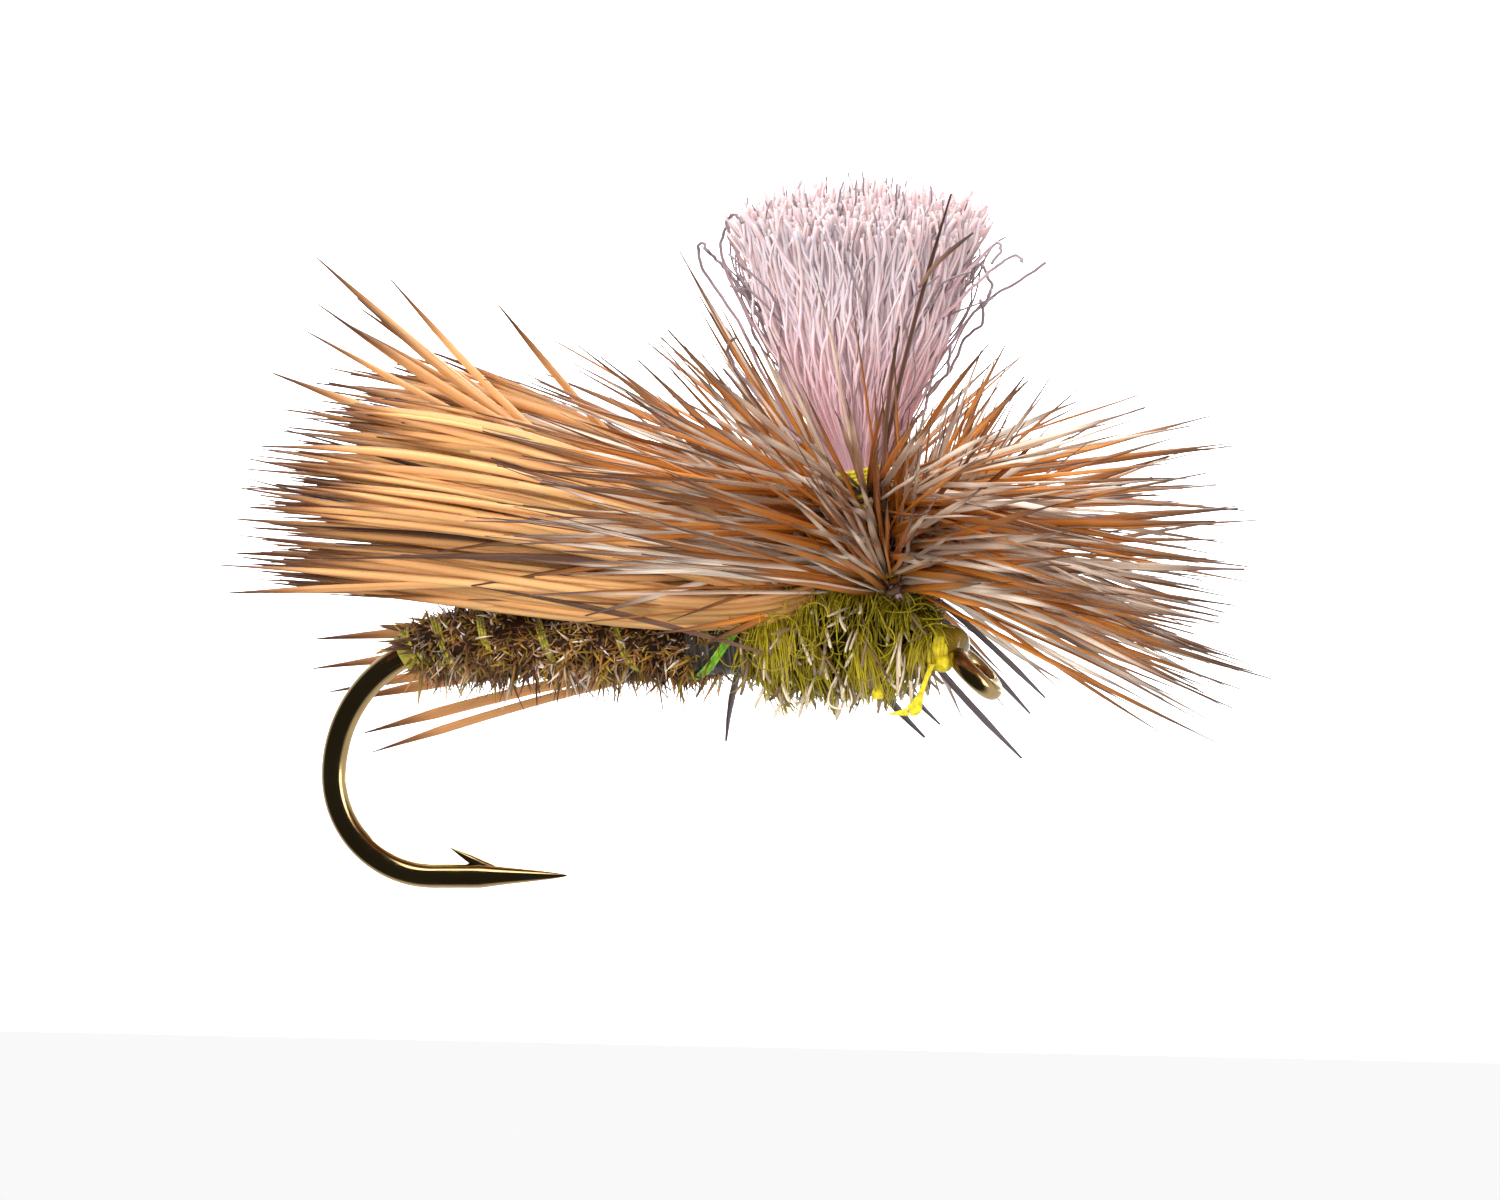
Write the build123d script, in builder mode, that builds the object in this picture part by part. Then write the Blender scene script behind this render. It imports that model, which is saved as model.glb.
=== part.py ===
from build123d import *
import os
from math import cos, radians, sin, sqrt, tan
from random import Random

# A parachute caddis dry fly: hair wing, wound hackle round an upright post, olive thorax,
# ribbed abdomen, all tied on a size 12 down-eye hook.
# Frame in millimetres: the origin is the centre of the hook eye's hole, +X runs forward
# along the shank to the eye, +Y is the fly's left side and +Z goes up the post.

# ---- hook wire
WIRE_R = 0.26
SHANK_Z = 0.49
BEND_START_X = -10.58
UPPER_BEND_R = 2.89
LOWER_BEND_R = 2.06
POINT_RISE = 1.2  # degrees that the point leans up from the shank's direction
LEG_LENGTH = 0.98
POINT_LENGTH = 1.86
POINT_MID_R = 0.155
BARB_RISE = 0.27  # how far the barb's tip stands off the wire
BARB_SINK = 0.04
BARB_THICKNESS = 0.13

# ---- hook eye, bent down from the shank
EYE_HOLE_R = 0.35
EYE_WIRE_R = 0.20
EYE_LAND_DEPTH = 0.02  # how far the hole's flat land cuts into the ring's round wire
EYE_TILT = 45.0
TAPER_START_X = -1.45
TAPER_END_X = -0.80

# ---- body wound on the shank
UNDERBODY_R = 0.32
ABDOMEN_FRONT_X = -5.50
ABDOMEN_R = 0.76
ABDOMEN_GROOVE_R = 0.66
ABDOMEN_BEND_ANGLE = 23.0  # how far the abdomen follows the bend
ABDOMEN_SEGMENTS = 4
RIB_R = 0.06
RIB_TURN_R = 0.71
RIB_TILT = 14.0
RIB_CLEARANCE = 0.01
TIE_OFF_R = 0.50
TIE_OFF_ANGLE = 5.0
QUILL_R = 0.60
QUILL_EDGE_R = 0.55
QUILL_TURNS = 3
FLUE_COUNT = 66
FLUE_R = 0.03
HERL_TIP_COUNT = 4
HERL_TIP_R = 0.048
HERL_TIP_LENGTH = 0.55
HERL_TIP_SPACING = 0.16
HERL_TIP_HEIGHT = 0.60  # above the wire's centre

# ---- thorax and head
THORAX_REAR_X = -4.85
THORAX_FRONT_X = -1.20
THORAX_R = 1.25
THORAX_END_R = 0.72
THORAX_Z = 0.60
NOTCH_LENGTH = 4.0  # the cone left open for the wing's butts
NOTCH_MARGIN = 3.0
GUARD_HAIR_COUNT = 44
GUARD_HAIR_R = 0.035
HEAD_R = 0.42
HEAD_BACK_R = 0.54
HEAD_FRONT_X = -0.66
WHIP_LENGTH = 0.14
CEMENT_R = 0.37
CEMENT_END_R = 0.26
CEMENT_LENGTH = 0.26

# ---- hair wing, every hair on a ray from one point so that no two cross
WING_APEX = Vector(-1.90, 0, 1.25)
WING_RISE = 8.0
WING_SPREAD = 26.0
WING_COUNT = 84
WING_BUTT = 0.70  # apex to the trimmed butt of each hair
WING_REACH = 13.55  # apex to the longest tip
WING_THICKEST = 2.60  # apex to where a hair is thickest
WING_BUTT_R = 0.02
WING_HAIR_R = 0.085
WING_WRAP_FRONT_X = -2.95
WING_WRAP_LENGTH = 0.45
WING_WRAP_THICKNESS = 0.08
WING_WRAP_MARGIN = 2.0  # degrees that the band stands wider than the bundle

# ---- parachute post
POST_FOOT = Vector(-1.50, 0, 0.86)
POST_NECK_Z = 4.30
POST_R = 0.50
POST_LEAN = 15.0  # degrees that the bound root leans back
POST_HOLE_DROP = 0.4  # the thorax's hole for the root starts this far below its foot
POST_HOLE_LENGTH = 3.0
POST_TOP_Z = 9.95
POST_TOP_R = 3.15
POST_CROWN = 0.25
POST_COUNT = 90
POST_FIBRE_R = 0.042
POST_WRAP_R = 0.58
POST_WRAP_START = 1.30

# ---- hackle, two feathers wound together round the post
STEM_R = 0.085
STEM_TURNS = 5
STEM_START = 1.45  # from the post's foot, along the post
STEM_PITCH = 0.36
BARB_COUNT = 84
BARB_R = 0.048
BARB_LEAST = 5.9
BARB_MOST = 7.5
BARB_LIFT = (5.0, 15.0)  # mean and spread of a barb's elevation, in degrees
BARB_LOWEST = -36.0
BARB_HIGHEST = 62.0
HACKLE_TILT = 14.0  # raised at the back, lowered at the front
HACKLE_FAN = 16.0  # between the lowest and the highest turn
TIP_R = 0.02
TIE_DOWN_R = 0.68
TIE_DOWN_LENGTH = 0.10
BUTT_LENGTH = 1.50
BUTT_R = 0.07
BUTT_DROP = 30.0

FIBRE_CLEARANCE = 0.012
BODY_MARGIN = 0.05
LEADER_REACH = 20.0
FROM_PLANE = (Align.CENTER, Align.CENTER, Align.MIN)  # a rod that grows from its plane
GOLDEN_ANGLE = 137.508
SHANK_DIR = Vector(1, 0, 0)
EYE_DIR = Vector(cos(radians(EYE_TILT)), 0, -sin(radians(EYE_TILT)))
EYE_AXIS = Vector(sin(radians(EYE_TILT)), 0, cos(radians(EYE_TILT)))
EYE_RING_R = EYE_HOLE_R + EYE_WIRE_R - EYE_LAND_DEPTH
SHANK_FRONT = Vector(TAPER_START_X, 0, SHANK_Z)
BEND_CENTRE = Vector(BEND_START_X, 0, SHANK_Z - UPPER_BEND_R)
post_dir = Vector(-sin(radians(POST_LEAN)), 0, cos(radians(POST_LEAN)))
post_length = (POST_NECK_Z - POST_FOOT.Z) / post_dir.Z
post_neck = POST_FOOT + post_dir * post_length

os.makedirs("parts", exist_ok=True)
planted = []  # every fibre so far: root, tip and radius


def bend_point(angle):
    """A point on the wire's centre line, an angle round the upper bend."""
    a = radians(angle)
    return BEND_CENTRE + Vector(-sin(a), 0, cos(a)) * UPPER_BEND_R


def bend_dir(angle):
    """The wire's direction there, pointing away from the shank."""
    a = radians(angle)
    return Vector(-cos(a), 0, -sin(a))


def segment_gap(a0, a1, b0, b1):
    """The least distance between two straight segments."""
    u, v, w = a1 - a0, b1 - b0, a0 - b0
    uu, uv, vv, uw, vw = u.dot(u), u.dot(v), v.dot(v), u.dot(w), v.dot(w)
    slant = uu * vv - uv * uv
    s = 0.0 if slant < 1e-9 else min(1.0, max(0.0, (uv * vw - vv * uw) / slant))
    t = min(1.0, max(0.0, (uv * s + vw) / vv))
    s = min(1.0, max(0.0, (uv * t - uw) / uu))
    return (a0 + u * s - b0 - v * t).length


def plant(root, tip, radius, solids=()):
    """Keep a fibre if it misses every fibre and every solid rod (start, end, radius) named."""
    for start, end, other in list(planted) + list(solids):
        if segment_gap(root, tip, start, end) < radius + other + FIBRE_CLEARANCE:
            return False
    planted.append((root, tip, radius))
    return True


def fibre_plane(root, tip):
    """The plane across a fibre's root, facing its tip."""
    return Plane(origin=root, z_dir=(tip - root).normalized())


def direction(azimuth, elevation):
    """A unit vector, azimuth from +X towards +Y and elevation towards +Z, in degrees."""
    a, e = radians(azimuth), radians(elevation)
    return Vector(cos(e) * cos(a), cos(e) * sin(a), sin(e))


def save(piece, name):
    """Label a finished piece and write it to its own file."""
    piece.label = name
    export_step(piece, f"parts/{name}.step")


# ---- hook: wire swept from the shank round the bend to the leg, then barb, point and eye
with BuildPart() as hook:
    with BuildLine(Plane.XZ) as wire:
        shank = Line((TAPER_START_X, SHANK_Z), (BEND_START_X, SHANK_Z))
        upper_bend = JernArc(shank @ 1, shank % 1, UPPER_BEND_R, 90)
        lower_bend = JernArc(upper_bend @ 1, upper_bend % 1, LOWER_BEND_R, 90 + POINT_RISE)
        leg = Line(lower_bend @ 1, (lower_bend @ 1) + (lower_bend % 1) * LEG_LENGTH)
    with BuildSketch(Plane(origin=shank @ 0, z_dir=shank % 0)):
        Circle(WIRE_R)
    sweep()

    point_plane = Plane(origin=leg @ 1, x_dir=leg % 1, z_dir=(0, -1, 0))
    with BuildSketch(point_plane):
        with BuildLine():
            Polyline((POINT_LENGTH, 0), (0, 0), (0, WIRE_R))
            ThreePointArc((0, WIRE_R), (POINT_LENGTH / 2, POINT_MID_R), (POINT_LENGTH, 0))
        make_face()
    revolve(axis=Axis(leg @ 1, leg % 1))

    barb_front = (0.06, WIRE_R - BARB_SINK)
    barb_root = (barb_front[0] - 0.40, WIRE_R - BARB_SINK)
    barb_tip = (barb_front[0] - 0.70, WIRE_R + BARB_RISE)
    barb_mid = ((barb_front[0] + barb_tip[0]) / 2, WIRE_R + BARB_RISE / 5)
    with BuildSketch(point_plane):
        with BuildLine():
            ThreePointArc(barb_tip, barb_mid, barb_front)
            Polyline(barb_front, (barb_front[0] - 0.15, 0), barb_root, barb_tip)
        make_face()
    extrude(amount=BARB_THICKNESS / 2, both=True)

    with Locations(Plane(origin=SHANK_FRONT, z_dir=SHANK_DIR)):
        Cone(WIRE_R, EYE_WIRE_R, TAPER_END_X - TAPER_START_X, align=FROM_PLANE)

    neck_end = EYE_DIR * -EYE_RING_R
    neck_r = (SHANK_Z - neck_end.Z) / (1 - cos(radians(EYE_TILT)))
    neck_start = Vector(neck_end.X - neck_r * sin(radians(EYE_TILT)), 0, SHANK_Z)
    with BuildLine(Plane.XZ) as neck:
        collar = Line((TAPER_END_X, SHANK_Z), (neck_start.X, SHANK_Z))
        JernArc(collar @ 1, collar % 1, neck_r, -EYE_TILT)
    with BuildSketch(Plane(origin=collar @ 0, z_dir=SHANK_DIR)):
        Circle(EYE_WIRE_R)
    sweep(path=neck.wires()[0])

    with BuildSketch(Plane(origin=(0, 0, 0), x_dir=EYE_DIR, z_dir=(0, -1, 0))):
        with Locations((EYE_RING_R, 0)):
            Circle(EYE_WIRE_R)
        with Locations((EYE_HOLE_R, 0)):
            Rectangle(4 * EYE_WIRE_R, 4 * EYE_WIRE_R, align=(Align.MAX, Align.CENTER), mode=Mode.SUBTRACT)
    revolve(axis=Axis((0, 0, 0), EYE_AXIS))
    with Locations(Plane(origin=(0, 0, 0), z_dir=EYE_AXIS)):
        Cylinder(EYE_HOLE_R, 3 * EYE_WIRE_R, mode=Mode.SUBTRACT)
save(hook.part, "hook")

# ---- thread layer wound on the bare shank
with BuildPart() as thread_underbody:
    with BuildSketch(Plane(origin=SHANK_FRONT, z_dir=-SHANK_DIR)):
        Circle(UNDERBODY_R)
        Circle(WIRE_R, mode=Mode.SUBTRACT)
    extrude(amount=TAPER_START_X - BEND_START_X)
save(thread_underbody.part, "thread_underbody")

# ---- abdomen: bulged segments along the shank, then a plain stretch that follows the bend
segment_length = (ABDOMEN_FRONT_X - BEND_START_X) / ABDOMEN_SEGMENTS
groove_xs = [ABDOMEN_FRONT_X - i * segment_length for i in range(ABDOMEN_SEGMENTS + 1)]
groove_planes = [Plane(origin=(x, 0, SHANK_Z), z_dir=direction(0, RIB_TILT)) for x in groove_xs[1:-1]]
for bend_angle in (3.0, ABDOMEN_BEND_ANGLE / 2 + 2):
    groove_planes.append(Plane(origin=bend_point(bend_angle), z_dir=-bend_dir(bend_angle - RIB_TILT / 2)))

with BuildPart() as abdomen:
    with BuildSketch(Plane.XZ):
        with BuildLine():
            for front_x, rear_x in zip(groove_xs, groove_xs[1:]):
                ThreePointArc(
                    (front_x, SHANK_Z + ABDOMEN_GROOVE_R),
                    ((front_x + rear_x) / 2, SHANK_Z + ABDOMEN_R),
                    (rear_x, SHANK_Z + ABDOMEN_GROOVE_R),
                )
            Polyline(
                (BEND_START_X, SHANK_Z + ABDOMEN_GROOVE_R),
                (BEND_START_X, SHANK_Z + UNDERBODY_R),
                (ABDOMEN_FRONT_X, SHANK_Z + UNDERBODY_R),
                (ABDOMEN_FRONT_X, SHANK_Z + ABDOMEN_GROOVE_R),
            )
        make_face()
    revolve(axis=Axis((0, 0, SHANK_Z), SHANK_DIR))
    with BuildLine(Plane.XZ) as bend_path:
        JernArc((BEND_START_X, SHANK_Z), (-1, 0), UPPER_BEND_R, ABDOMEN_BEND_ANGLE)
    with BuildSketch(Plane(origin=bend_point(0), z_dir=-SHANK_DIR)):
        Circle(RIB_TURN_R)
        Circle(WIRE_R, mode=Mode.SUBTRACT)
    sweep(path=bend_path.wires()[0])
    with Locations(*groove_planes):
        Torus(RIB_TURN_R, RIB_R + RIB_CLEARANCE, mode=Mode.SUBTRACT)
save(abdomen.part, "abdomen")

with BuildPart() as abdomen_rib:
    with Locations(*groove_planes):
        Torus(RIB_TURN_R, RIB_R)
save(abdomen_rib.part, "abdomen_rib")

band_start, band_dir = bend_point(ABDOMEN_BEND_ANGLE), bend_dir(ABDOMEN_BEND_ANGLE)
with BuildPart() as rear_tie_off:
    with BuildLine(Plane.XZ) as band_path:
        JernArc((band_start.X, band_start.Z), (band_dir.X, band_dir.Z), UPPER_BEND_R, TIE_OFF_ANGLE)
    with BuildSketch(Plane(origin=band_start, z_dir=band_dir)):
        Circle(TIE_OFF_R)
        Circle(WIRE_R, mode=Mode.SUBTRACT)
    sweep(path=band_path.wires()[0])
save(rear_tie_off.part, "rear_tie_off")

# ---- bare quill turns between the abdomen and the thorax
quill_width = (THORAX_REAR_X - ABDOMEN_FRONT_X) / QUILL_TURNS
with BuildPart() as quill_turns:
    with BuildSketch(Plane.XZ):
        with BuildLine():
            for turn in range(QUILL_TURNS):
                x = ABDOMEN_FRONT_X + turn * quill_width
                ThreePointArc(
                    (x, SHANK_Z + QUILL_EDGE_R),
                    (x + quill_width / 2, SHANK_Z + QUILL_R),
                    (x + quill_width, SHANK_Z + QUILL_EDGE_R),
                )
            Polyline(
                (THORAX_REAR_X, SHANK_Z + QUILL_EDGE_R),
                (THORAX_REAR_X, SHANK_Z + UNDERBODY_R),
                (ABDOMEN_FRONT_X, SHANK_Z + UNDERBODY_R),
                (ABDOMEN_FRONT_X, SHANK_Z + QUILL_EDGE_R),
            )
        make_face()
    revolve(axis=Axis((0, 0, SHANK_Z), SHANK_DIR))
save(quill_turns.part, "quill_turns")

# ---- hair wing: rays from one apex in a sunflower pattern, kept where they clear the body
shank_rod = (Vector(THORAX_FRONT_X, 0, SHANK_Z), bend_point(0), UNDERBODY_R)
abdomen_rods = [
    (Vector(THORAX_REAR_X, 0, SHANK_Z), bend_point(0), ABDOMEN_R + BODY_MARGIN),
    (bend_point(0), bend_point(ABDOMEN_BEND_ANGLE), ABDOMEN_R + BODY_MARGIN),
]
draw = Random(12)
wing_layout = []
for i in range(WING_COUNT):
    spread = WING_SPREAD * sqrt((i + 0.5) / WING_COUNT)
    turn = radians(i * GOLDEN_ANGLE)
    heading = direction(180 + spread * cos(turn), WING_RISE + spread * sin(turn))
    outward = spread / WING_SPREAD
    reach = WING_REACH * (1 - draw.uniform(0, 0.10) - 0.10 * abs(cos(turn)) * outward)
    butt = WING_APEX + heading * WING_BUTT
    tip = WING_APEX + heading * reach
    widest = WING_APEX + heading * WING_THICKEST
    clear_of_shank = segment_gap(butt, tip, *shank_rod[:2]) > UNDERBODY_R + WING_BUTT_R + BODY_MARGIN
    clear_of_body = all(segment_gap(butt, tip, a, b) > r + WING_HAIR_R for a, b, r in abdomen_rods)
    if clear_of_shank and clear_of_body:
        wing_layout.append((butt, tip))
        planted.append((widest, tip, WING_HAIR_R))

with BuildPart() as wing_hairs:
    for butt, tip in wing_layout:
        axis = (tip - butt).normalized()
        across = Plane(origin=butt, x_dir=axis, z_dir=axis.cross(Vector(0, 1, 0)))
        with BuildSketch(across):
            with BuildLine():
                Polyline(
                    (0, 0),
                    (0, WING_BUTT_R),
                    (WING_THICKEST - WING_BUTT, WING_HAIR_R),
                    ((tip - butt).length * 0.72, WING_HAIR_R * 0.8),
                    ((tip - butt).length, TIP_R),
                    ((tip - butt).length, 0),
                    close=True,
                )
            make_face()
        revolve(axis=Axis(butt, tip - butt))
save(wing_hairs.part, "wing_hairs")

# ---- thread band round the shank and the wing's butts
wrap_rear = WING_APEX.X - WING_WRAP_FRONT_X + WING_WRAP_LENGTH
bundle_r = wrap_rear * tan(radians(WING_SPREAD + WING_WRAP_MARGIN))
bundle_z = WING_APEX.Z + wrap_rear * tan(radians(WING_RISE))
with BuildPart() as wing_wraps:
    with BuildSketch(Plane(origin=(WING_WRAP_FRONT_X, 0, 0), x_dir=(0, 1, 0), z_dir=(-1, 0, 0))):
        with BuildSketch(mode=Mode.PRIVATE) as bundle:
            with Locations((0, -bundle_z)):
                Circle(bundle_r)
            with Locations((0, -SHANK_Z)):
                Circle(UNDERBODY_R)
            make_hull()
        offset(bundle.sketch, amount=WING_WRAP_THICKNESS)
        add(bundle.sketch, mode=Mode.SUBTRACT)
    extrude(amount=WING_WRAP_LENGTH)
save(wing_wraps.part, "wing_wraps")

# ---- post: a bound root that leans back, then fibres that flare into a flat-topped brush
with BuildPart() as post_root:
    with Locations(Plane(origin=POST_FOOT, z_dir=post_dir)):
        Cylinder(POST_R, post_length, align=FROM_PLANE)
    with Locations(Plane(origin=SHANK_FRONT, z_dir=-SHANK_DIR)):
        Cylinder(UNDERBODY_R, -BEND_START_X, align=FROM_PLANE, mode=Mode.SUBTRACT)
save(post_root.part, "post_root")

flare = (POST_TOP_R - POST_R) / (POST_TOP_Z - post_neck.Z)
post_apex = post_neck - Vector(0, 0, POST_R / flare)
post_layout = []
for i in range(POST_COUNT):
    rim = sqrt((i + 0.5) / POST_COUNT)
    turn = radians(i * GOLDEN_ANGLE)
    slope = Vector(cos(turn), sin(turn), 0) * (flare * rim)
    top_z = POST_TOP_Z + POST_CROWN * (1 - rim * rim) - draw.uniform(0, 2 * POST_CROWN) - rim**4
    root_z = post_neck.Z + POST_R * sin(radians(POST_LEAN)) + POST_FIBRE_R
    root = post_apex + (slope + Vector(0, 0, 1)) * (root_z - post_apex.Z)
    tip = post_apex + (slope + Vector(0, 0, 1)) * (top_z - post_apex.Z)
    post_layout.append((root, tip))
    planted.append((root, tip, POST_FIBRE_R))

with BuildPart() as post_fibres:
    for root, tip in post_layout:
        with Locations(fibre_plane(root, tip)):
            Cylinder(POST_FIBRE_R, (tip - root).length, align=FROM_PLANE)
save(post_fibres.part, "post_fibres")


def post_sleeve(start, length, inner, outer):
    """A sleeve round the post, between two distances from its foot."""
    with BuildPart() as sleeve:
        with BuildSketch(Plane(origin=POST_FOOT + post_dir * start, z_dir=post_dir)):
            Circle(outer)
            Circle(inner, mode=Mode.SUBTRACT)
        extrude(amount=length)
    return sleeve.part


save(post_sleeve(POST_WRAP_START, post_length - POST_WRAP_START, POST_R, POST_WRAP_R), "post_wraps")
tie_down_start = STEM_START - 2 * STEM_R - TIE_DOWN_LENGTH
save(post_sleeve(tie_down_start, TIE_DOWN_LENGTH, POST_WRAP_R, TIE_DOWN_R), "hackle_tie_down")

# ---- hackle: two stems wound together up the post, with barbs that fan out all round
stem_ring_r = POST_WRAP_R + STEM_R
barb_root_r = stem_ring_r + STEM_R + TIP_R
thorax_ends = [Vector(x, 0, THORAX_Z) for x in (THORAX_REAR_X + 1.0, THORAX_FRONT_X - 0.4)]
thorax_rod = (thorax_ends[0], thorax_ends[1], THORAX_R + BODY_MARGIN)
leader_path = (EYE_AXIS * LEADER_REACH, EYE_AXIS * -2 * LEADER_REACH, EYE_HOLE_R)
eye_ring = (EYE_DIR * -EYE_WIRE_R, EYE_DIR * EYE_WIRE_R, EYE_RING_R + EYE_WIRE_R)
barb_blocks = [shank_rod, thorax_rod, leader_path, eye_ring] + abdomen_rods


def stem_planes(first_turn):
    """The planes of one feather's stem turns."""
    starts = [STEM_START + first_turn + i * STEM_PITCH for i in range(STEM_TURNS)]
    return [Plane(origin=POST_FOOT + post_dir * s, z_dir=post_dir) for s in starts]


def barb_layout(planes, seed):
    """Barbs that leave a stem's turns: raised over the wing at the back, lowered at the front."""
    draw = Random(seed)
    rows = []
    for i in range(BARB_COUNT * 6):
        plane = planes[i % len(planes)]
        azimuth = i * GOLDEN_ANGLE + seed
        level = (i % len(planes)) / (len(planes) - 1) - 0.5
        for _ in range(6):
            lift = draw.gauss(*BARB_LIFT) - HACKLE_TILT * cos(radians(azimuth)) + HACKLE_FAN * level
            heading = direction(azimuth + draw.uniform(-10, 10), max(BARB_LOWEST, min(BARB_HIGHEST, lift)))
            outward = heading - post_dir * heading.dot(post_dir)
            root = plane.origin + outward.normalized() * barb_root_r
            tip = root + heading * draw.uniform(BARB_LEAST, BARB_MOST)
            if plant(root, tip, BARB_R, barb_blocks):
                rows.append((root, tip))
                break
        if len(rows) == BARB_COUNT:
            break
    return rows


def tapered_fibres(rows, root_r):
    """Straight fibres, thick at the root and fine at the tip."""
    with BuildPart() as fibres:
        for root, tip in rows:
            with Locations(fibre_plane(root, tip)):
                Cone(root_r, TIP_R, (tip - root).length, align=FROM_PLANE)
    return fibres.part


for colour, first_turn, seed in (("brown", 0, 32), ("grizzly", STEM_PITCH / 2, 44)):
    turns = stem_planes(first_turn)
    with BuildPart() as stem:
        with Locations(*turns):
            Torus(stem_ring_r, STEM_R)
    save(stem.part, f"hackle_stem_{colour}")
    save(tapered_fibres(barb_layout(turns, seed), BARB_R), f"hackle_barbs_{colour}")

# ---- bare butts of the two feathers, laid back along the shank under the thorax
with BuildPart() as hackle_butts:
    for side in (-1, 1):
        butt_y = side * (UNDERBODY_R + BUTT_R) * cos(radians(BUTT_DROP))
        butt_z = SHANK_Z - (UNDERBODY_R + BUTT_R) * sin(radians(BUTT_DROP))
        with Locations(Plane(origin=(POST_FOOT.X, butt_y, butt_z), z_dir=-SHANK_DIR)):
            Cylinder(BUTT_R, BUTT_LENGTH, align=FROM_PLANE)
save(hackle_butts.part, "hackle_butts")

# ---- thorax: a barrel of dubbing with room for the shank, the wing, the post and the butts
thorax_mid_x = (THORAX_REAR_X + THORAX_FRONT_X) / 2
notch_r = NOTCH_LENGTH * tan(radians(WING_SPREAD + NOTCH_MARGIN))
with BuildPart() as thorax_dubbing:
    with BuildSketch(Plane.XZ):
        with BuildLine():
            ThreePointArc(
                (THORAX_REAR_X, THORAX_Z + THORAX_END_R),
                (thorax_mid_x, THORAX_Z + THORAX_R),
                (THORAX_FRONT_X, THORAX_Z + THORAX_END_R),
            )
            Polyline(
                (THORAX_FRONT_X, THORAX_Z + THORAX_END_R),
                (THORAX_FRONT_X, THORAX_Z),
                (THORAX_REAR_X, THORAX_Z),
                (THORAX_REAR_X, THORAX_Z + THORAX_END_R),
            )
        make_face()
    revolve(axis=Axis((0, 0, THORAX_Z), SHANK_DIR))
    with Locations(Plane(origin=(0, 0, SHANK_Z), z_dir=-SHANK_DIR)):
        Cylinder(UNDERBODY_R, -BEND_START_X, align=FROM_PLANE, mode=Mode.SUBTRACT)
    with Locations(Plane(origin=WING_APEX, z_dir=direction(180, WING_RISE))):
        Cone(TIP_R, notch_r, NOTCH_LENGTH, align=FROM_PLANE, mode=Mode.SUBTRACT)
    with Locations(Plane(origin=POST_FOOT - post_dir * POST_HOLE_DROP, z_dir=post_dir)):
        Cylinder(POST_R, POST_HOLE_LENGTH, align=FROM_PLANE, mode=Mode.SUBTRACT)
    add(wing_wraps.part, mode=Mode.SUBTRACT)
    add(hackle_butts.part, mode=Mode.SUBTRACT)
save(thorax_dubbing.part, "thorax_dubbing")


def scatter(count, seed, span, axis_z, root_r, radius, lengths, sweep_back):
    """Short loose fibres that stand out round the shank, below the wing."""
    draw = Random(seed)
    rows = []
    for i in range(count * 6):
        x = draw.uniform(*span)
        turn = radians(i * GOLDEN_ANGLE)
        out = Vector(0, cos(turn), sin(turn))
        root = Vector(x, 0, axis_z) + out * root_r(x)
        lean = Vector(draw.uniform(-sweep_back, 0.2), 0, 0)
        tip = root + (out + lean).normalized() * draw.uniform(*lengths)
        below_wing = root.Z < SHANK_Z + 0.5
        if below_wing and plant(root, tip, radius, [leader_path, eye_ring]):
            rows.append((root, tip))
        if len(rows) == count:
            break
    return rows


def thorax_radius(x):
    """A radius that just clears the thorax barrel."""
    across = (x - thorax_mid_x) / (thorax_mid_x - THORAX_REAR_X)
    return THORAX_R - (THORAX_R - THORAX_END_R) * across**2 + 0.06


thorax_span = (THORAX_REAR_X + 0.1, THORAX_FRONT_X - 0.2)
guard_rows = scatter(
    GUARD_HAIR_COUNT, 5, thorax_span, THORAX_Z, thorax_radius, GUARD_HAIR_R, (0.35, 0.95), 0.8
)
save(tapered_fibres(guard_rows, GUARD_HAIR_R), "thorax_guard_hairs")
flue_span = (BEND_START_X - 0.1, ABDOMEN_FRONT_X - 0.1)
flue_rows = scatter(FLUE_COUNT, 8, flue_span, SHANK_Z, lambda x: ABDOMEN_R + 0.01, FLUE_R, (0.2, 0.45), 0.6)
save(tapered_fibres(flue_rows, FLUE_R), "abdomen_flues")

# ---- dark herl tips that point back over the bend
tip_rows = []
for i in range(HERL_TIP_COUNT):
    side = (i - (HERL_TIP_COUNT - 1) / 2) * HERL_TIP_SPACING
    root = band_start + band_dir * TIP_R - bend_dir(ABDOMEN_BEND_ANGLE - 90) * HERL_TIP_HEIGHT
    root += Vector(0, side, 0)
    heading = direction(180 - 25 * side, -12 - 6 * i)
    tip_rows.append((root, root + heading * (HERL_TIP_LENGTH + i * FLUE_R)))
save(tapered_fibres(tip_rows, HERL_TIP_R), "herl_tips")

# ---- head: thread cone, whip finish and a collar of cement on the neck of the eye
whip_back_x = HEAD_FRONT_X - WHIP_LENGTH
with BuildPart() as head_wraps:
    with Locations(Plane(origin=(whip_back_x, 0, SHANK_Z), z_dir=-SHANK_DIR)):
        Cone(HEAD_R, HEAD_BACK_R, whip_back_x - THORAX_FRONT_X, align=FROM_PLANE)
    add(hook.part, mode=Mode.SUBTRACT)
save(head_wraps.part, "head_wraps")

with BuildPart() as whip_finish:
    with Locations(Plane(origin=(HEAD_FRONT_X, 0, SHANK_Z), z_dir=-SHANK_DIR)):
        Cone(HEAD_R - 0.04, HEAD_R, WHIP_LENGTH, align=FROM_PLANE)
    add(hook.part, mode=Mode.SUBTRACT)
save(whip_finish.part, "whip_finish")

with BuildPart() as head_cement:
    with Locations(Plane(origin=(HEAD_FRONT_X, 0, SHANK_Z), z_dir=SHANK_DIR)):
        Cone(CEMENT_R, CEMENT_END_R, CEMENT_LENGTH, align=FROM_PLANE)
    add(hook.part, mode=Mode.SUBTRACT)
save(head_cement.part, "head_cement")

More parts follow.
